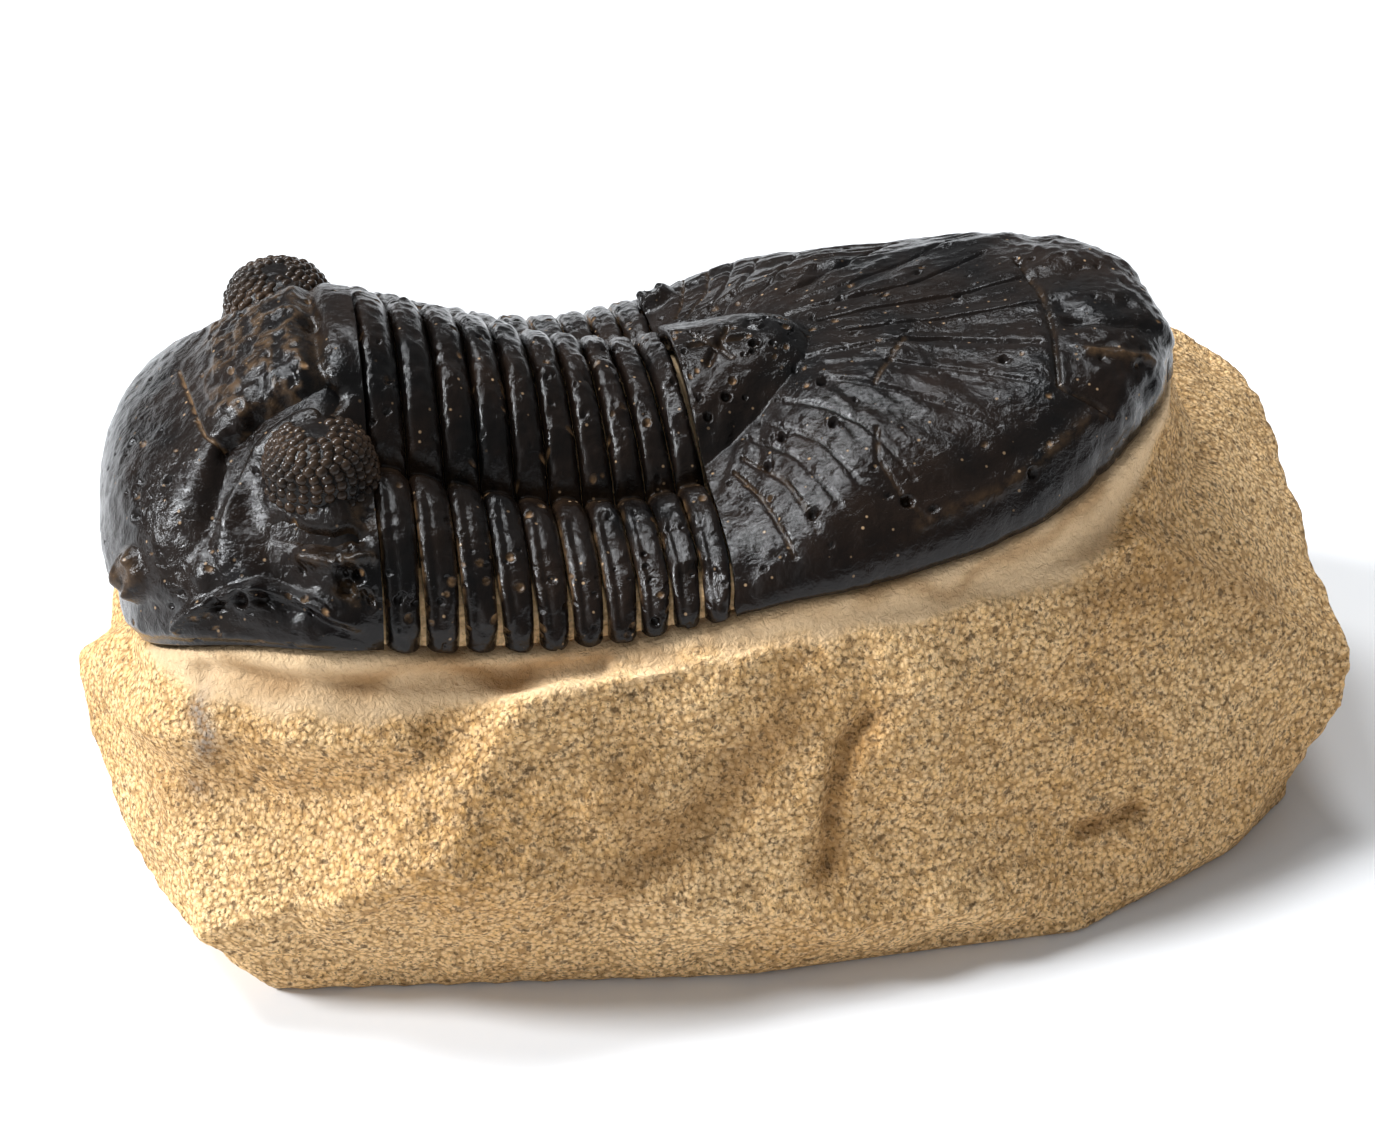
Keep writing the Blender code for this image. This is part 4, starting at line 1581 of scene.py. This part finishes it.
@cache
def mottle_group() -> NodeTree:
    """Make the group that puts out broad patches and fine grain, both from 0 to 1.

    Returns:
        The group, made once and shared.
    """
    inputs = {
        "Broad": (NUMBER, 90.0), "Fine": (NUMBER, 1500.0),
        "Low": (NUMBER, 0.35), "High": (NUMBER, 0.65),
    }
    tree, start, end = add_group("mottle", inputs, {"Patches": NUMBER, "Grain": NUMBER})
    place, have = object_place(tree), start.outputs
    for scale, detail, out in (("Broad", 4.0, "Patches"), ("Fine", 3.0, "Grain")):
        values = {"Vector": place, "Scale": have[scale], "Detail": detail, "Roughness": 0.6}
        noise = add_node(tree, "ShaderNodeTexNoise", values)
        ends = (have["Low"], have["High"])
        feed(tree, end, {out: add_range(tree, noise.outputs["Fac"], ends)})
    return tree


@cache
def skin_group() -> NodeTree:
    """Make the group that puts out a height of two noises, coarse and fine, for a bump.

    Returns:
        The group, made once and shared.
    """
    inputs = {"Coarse": (NUMBER, 600.0), "Fine": (NUMBER, 2000.0), "Share": (NUMBER, 0.5)}
    tree, start, end = add_group("skin", inputs, {"Height": NUMBER})
    place, noises = object_place(tree), []
    for scale in ("Coarse", "Fine"):
        values = {
            "Vector": place, "Scale": start.outputs[scale], "Detail": 4.0,
            "Roughness": 0.62, "Distortion": 0.8,
        }
        noises.append(add_node(tree, "ShaderNodeTexNoise", values).outputs["Fac"])
    feed(tree, end, {"Height": add_blend(tree, start.outputs["Share"], *noises)})
    return tree


@cache
def settle_group() -> NodeTree:
    """Make the group that lays one colour over another where a mask and a grain agree.

    Returns:
        The group, made once and shared.
    """
    inputs = {
        "Color": (COLOR, (0, 0, 0, 1)), "Dust": (COLOR, (0.4, 0.25, 0.1, 1)),
        "Mask": (NUMBER, 0.0), "Grain": (NUMBER, 0.5), "Amount": (NUMBER, 1.0),
    }
    tree, start, end = add_group("settled dust", inputs, {"Color": COLOR, "Mask": NUMBER})
    have = start.outputs
    patchy = add_math(tree, "MULTIPLY", have["Mask"], have["Grain"])
    strong = add_math(tree, "MULTIPLY", patchy, have["Amount"])
    strong.node.use_clamp = True
    color = add_blend(tree, strong, have["Color"], have["Dust"], "RGBA")
    feed(tree, end, {"Color": color, "Mask": strong})
    return tree


def place_group(tree: NodeTree, group: NodeTree, values: dict) -> NodeOutputs:
    """Place a group in a material's tree and feed it.

    Args:
        tree: Tree of the material.
        group: Group to place.
        values: Its inputs, as sockets or values.

    Returns:
        Its outputs.
    """
    node = tree.nodes.new("ShaderNodeGroup")
    node.node_tree = group
    return feed(tree, node, values).outputs


def lay_over(
    tree: NodeTree, color: object, dust: Color, amount: float, mask: object,
    grain: object = 1.0,
) -> NodeOutputs:
    """Lay one colour over another.

    Args:
        tree: Tree of the material.
        color: What lies below.
        dust: Colour that is laid over it.
        amount: Strength of the layer.
        mask: Where it lies.
        grain: What breaks it up.

    Returns:
        The new colour and the share of the layer, as Color and Mask.
    """
    values = {"Color": color, "Dust": dust, "Mask": mask, "Grain": grain, "Amount": amount}
    return place_group(tree, settle_group(), values)


def new_material(name: str) -> tuple[Material, NodeTree, Node]:
    """Make a material that has its Principled shader alone.

    Args:
        name: Its name.

    Returns:
        The material, its tree and its shader.
    """
    material = bpy.data.materials.new(name)
    material.use_nodes = True
    return material, material.node_tree, material.node_tree.nodes["Principled BSDF"]


def add_bump(tree: NodeTree, shader: Node, height: object, strength: float, depth: float) -> None:
    """Give a shader a bump.

    Args:
        tree: Tree of the material.
        shader: Its shader.
        height: Height, from 0 to 1.
        strength: Strength of the bump.
        depth: Depth of the whole range in millimetres.
    """
    values = {"Strength": strength, "Distance": depth * MM, "Height": height}
    bump = add_node(tree, "ShaderNodeBump", values)
    feed(tree, shader, {"Normal": bump.outputs["Normal"]})


@dataclass(frozen=True)
class ShellFinish:
    """Polished black shell with brown dust in its grooves."""

    name: str = "black_shell"
    dark: Color = (0.0030, 0.0027, 0.0027, 1)
    warm: Color = (0.011, 0.0062, 0.004, 1)
    dust: Color = (0.42, 0.24, 0.11, 1)
    fleck: Color = (0.50, 0.33, 0.19, 1)
    patch_scale: float = 120.0
    grain_scale: float = 900.0
    fleck_scale: float = 760.0
    fleck_size: Span = (0.11, 0.06)
    fleck_amount: float = 0.7
    roughness: Span = (0.10, 0.23)
    dust_roughness: float = 0.85
    specular: float = 0.22
    skin_scale: Span = (900.0, 2600.0)
    skin_share: float = 0.3
    bump: float = 0.6
    bump_depth: float = 0.26
    dust_amount: float = 1.2

    def build(self) -> Material:
        """Make the material.

        Returns:
            The finish.
        """
        material, tree, shader = new_material(self.name)
        values = {"Broad": self.patch_scale, "Fine": self.grain_scale}
        mottle = place_group(tree, mottle_group(), values)
        patches = mottle["Patches"]
        body = add_blend(tree, patches, self.dark, self.warm, "RGBA")
        settled = stored_value(tree, "dust")
        dusty = lay_over(tree, body, self.dust, self.dust_amount, settled, mottle["Grain"])
        values = {"Vector": object_place(tree), "Scale": self.fleck_scale}
        cells = add_node(tree, "ShaderNodeTexVoronoi", values)
        spots = add_range(tree, cells.outputs["Distance"], self.fleck_size)
        flecked = lay_over(tree, dusty["Color"], self.fleck, self.fleck_amount, spots, patches)
        rough = add_range(tree, patches, (0.0, 1.0), self.roughness)
        feed(tree, shader, {
            "Specular IOR Level": self.specular,
            "Base Color": flecked["Color"],
            "Roughness": add_blend(tree, dusty["Mask"], rough, self.dust_roughness),
        })
        coarse, fine = self.skin_scale
        skin = {"Coarse": coarse, "Fine": fine, "Share": self.skin_share}
        height = place_group(tree, skin_group(), skin)["Height"]
        add_bump(tree, shader, height, self.bump, self.bump_depth)
        return material


@dataclass(frozen=True)
class RockFinish:
    """Grainy tan limestone, paler and smoother on the cleaned step."""

    name: str = "tan_limestone"
    light: Color = (0.97, 0.64, 0.305, 1)
    deep: Color = (0.66, 0.365, 0.12, 1)
    sand: Color = (0.90, 0.72, 0.50, 1)
    pale: Color = (0.74, 0.53, 0.32, 1)
    pore: Color = (0.10, 0.055, 0.022, 1)
    crevice: Color = (0.30, 0.155, 0.05, 1)
    # Brown of the stains, also used as painted shade under the shell's near edge.
    stain_and_shade_brown: Color = (0.30, 0.15, 0.048, 1)
    grey: Color = (0.16, 0.16, 0.17, 1)
    sand_amount: float = 0.42
    stain_shade_and_step_amount: float = 0.85
    speck_amount: float = 0.8
    pore_amount: float = 0.7
    pores: tuple[tuple[float, float, float], ...] = ((3400.0, 0.56, 0.64), (1500.0, 0.62, 0.69))
    mottle: tuple[float, float, float, float] = (60.0, 1500.0, 0.34, 0.72)
    cell_scale: float = 2450.0
    cell_edge: Span = (0.38, 0.70)
    skin_scale: Span = (620.0, 1700.0)
    skin_share: float = 0.55
    roughness: float = 0.93
    specular: float = 0.2
    bump: float = 0.9
    bump_depth: float = 0.7
    grain_share: float = 0.30

    def build(self) -> Material:
        """Make the material.

        Returns:
            The finish.
        """
        material, tree, shader = new_material(self.name)
        place = object_place(tree)
        values = dict(zip(("Broad", "Fine", "Low", "High"), self.mottle))
        mottle = place_group(tree, mottle_group(), values)
        step = stored_value(tree, "step")
        rough = add_math(tree, "SUBTRACT", 1.0, step)
        values = {"Vector": place, "Scale": self.cell_scale}
        cells = add_node(tree, "ShaderNodeTexVoronoi", values).outputs["Distance"]
        layers = [
            (self.sand, self.sand_amount, mottle["Grain"], 1.0),
            (self.pale, self.stain_shade_and_step_amount, step, 1.0),
            # Brown laid over the stains and over the lines of painted shade under the shell's near
            # edge.
            (self.stain_and_shade_brown, self.stain_shade_and_step_amount, stored_value(tree, "stain_and_shade"), 1.0),
            (self.grey, self.speck_amount, stored_value(tree, "speck"), 1.0),
            (self.crevice, self.pore_amount, add_range(tree, cells, self.cell_edge), rough),
        ]
        for scale, low, high in self.pores:
            values = {"Vector": place, "Scale": scale, "Detail": 2.0}
            noise = add_node(tree, "ShaderNodeTexNoise", values).outputs["Fac"]
            holes = add_range(tree, noise, (low, high))
            layers.append((self.pore, self.pore_amount, holes, rough))
        color = add_blend(tree, mottle["Patches"], self.light, self.deep, "RGBA")
        for tint, amount, mask, grain in layers:
            color = lay_over(tree, color, tint, amount, mask, grain)["Color"]
        feed(tree, shader, {
            "Base Color": color, "Roughness": self.roughness, "Specular IOR Level": self.specular,
        })
        coarse, fine = self.skin_scale
        skin = {"Coarse": coarse, "Fine": fine, "Share": self.skin_share}
        smooth = place_group(tree, skin_group(), skin)["Height"]
        grains = add_math(tree, "MULTIPLY", cells, rough)
        height = add_math(tree, "MULTIPLY_ADD", grains, -self.grain_share, smooth)
        add_bump(tree, shader, height, self.bump, self.bump_depth)
        return material


@dataclass
class Studio:
    """Pale floor, soft lights and the camera of the photograph."""

    azimuth: float = 11.0
    elevation: float = 35.0
    distance: float = 203.0
    focal_pixels: float = 2540.0
    image_width: float = 1375.0
    sensor: float = 36.0
    clip_start: float = 0.005
    aim: Place = (0.0, 0.0, 17.5)
    suns: tuple[tuple[str, float, float, float, float], ...] = (
        ("key", 172.0, 38.0, 12.0, 4.3), ("overhead", 138.0, 58.0, 18.0, 2.2),
        ("top", 95.0, 66.0, 14.0, 1.1), ("fill", 215.0, 28.0, 60.0, 0.5),
    )
    sun_color: Place = (0.93, 0.965, 1.0)
    sky_color: Color = (0.96, 0.98, 1.0, 1)
    sky_strength: float = 0.26
    floor_color: Color = (0.76, 0.76, 0.765, 1)
    floor_roughness: float = 0.8
    floor_reach: float = 3.0
    floor_drop: float = 0.02

    def place_camera(self) -> None:
        """Set the camera at the photograph's angle."""
        ahead = direction(90 - self.azimuth, -self.elevation)
        data = bpy.data.cameras.new("camera")
        data.sensor_width = self.sensor
        data.lens = self.focal_pixels * self.sensor / self.image_width
        data.clip_start = self.clip_start
        camera = new_object("camera", data)
        aim = Vector(self.aim) + Vector(SHIFT)
        camera.location = (aim - ahead * self.distance) * MM
        camera.rotation_euler = ahead.to_track_quat("-Z", "Y").to_euler()
        bpy.context.scene.camera = camera

    def add_sun(self, name: str, bearing: float, rise: float, spread: float, power: float) -> None:
        """Add a wide, soft, even light.

        Args:
            name: Name of the light.
            bearing: Direction that it comes from, in degrees from +X towards +Y.
            rise: Its height above the horizon in degrees.
            spread: Angle that it fills, in degrees.
            power: Its strength.
        """
        data = bpy.data.lights.new(name, "SUN")
        data.angle = math.radians(spread)
        data.energy = power
        data.color = self.sun_color
        light = new_object(name, data)
        light.rotation_euler = direction(bearing, rise).to_track_quat("Z", "Y").to_euler()

    def lay_floor(self) -> None:
        """Lay the pale floor just under the object."""
        mesh = bpy.data.meshes.new("floor")
        reach = self.floor_reach
        corners = [(-reach, -reach, 0), (reach, -reach, 0), (reach, reach, 0), (-reach, reach, 0)]
        mesh.from_pydata(corners, [], [(0, 1, 2, 3)])
        floor = new_object("floor", mesh)
        floor.location.z = -self.floor_drop * MM
        material, _, shader = new_material("white_floor")
        shader.inputs["Base Color"].default_value = self.floor_color
        shader.inputs["Roughness"].default_value = self.floor_roughness
        mesh.materials.append(material)

    def build(self) -> None:
        """Set up the whole studio."""
        scene = bpy.context.scene
        scene.view_settings.view_transform = "Standard"
        world = bpy.data.worlds.new("studio")
        world.use_nodes = True
        sky = world.node_tree.nodes["Background"]
        sky.inputs["Color"].default_value = self.sky_color
        sky.inputs["Strength"].default_value = self.sky_strength
        scene.world = world
        self.lay_floor()
        for sun in self.suns:
            self.add_sun(*sun)
        self.place_camera()


def main() -> None:
    """Build every piece in order, dress it and set the studio."""
    back = Back()
    tail = TailShield(back)
    shell = ShellFinish().build()
    lens_colors = ((0.010, 0.0075, 0.006, 1), (0.06, 0.034, 0.019, 1))
    lens = ShellFinish("eye_lens", *lens_colors, bump=0.2).build()
    rock = RockFinish().build()
    RockBlock(back, tail).build(rock)
    RibBed(back).build(rock)
    HeadShield(back).build(shell)
    Eye(Side.NEAR, (-28.4, 12.0, 36.9), (3.95, 4.4, 4.6)).build(shell, lens)
    Eye(Side.FAR, (-29.8, 12.0, 37.2), lens_turns=(-90.0, 268.0)).build(shell, lens)
    BodySegments(back).build(shell)
    tail.build(shell)
    Studio().build()


if __name__ == "__main__":
    logging.basicConfig(level=logging.INFO, format="%(message)s")
    main()
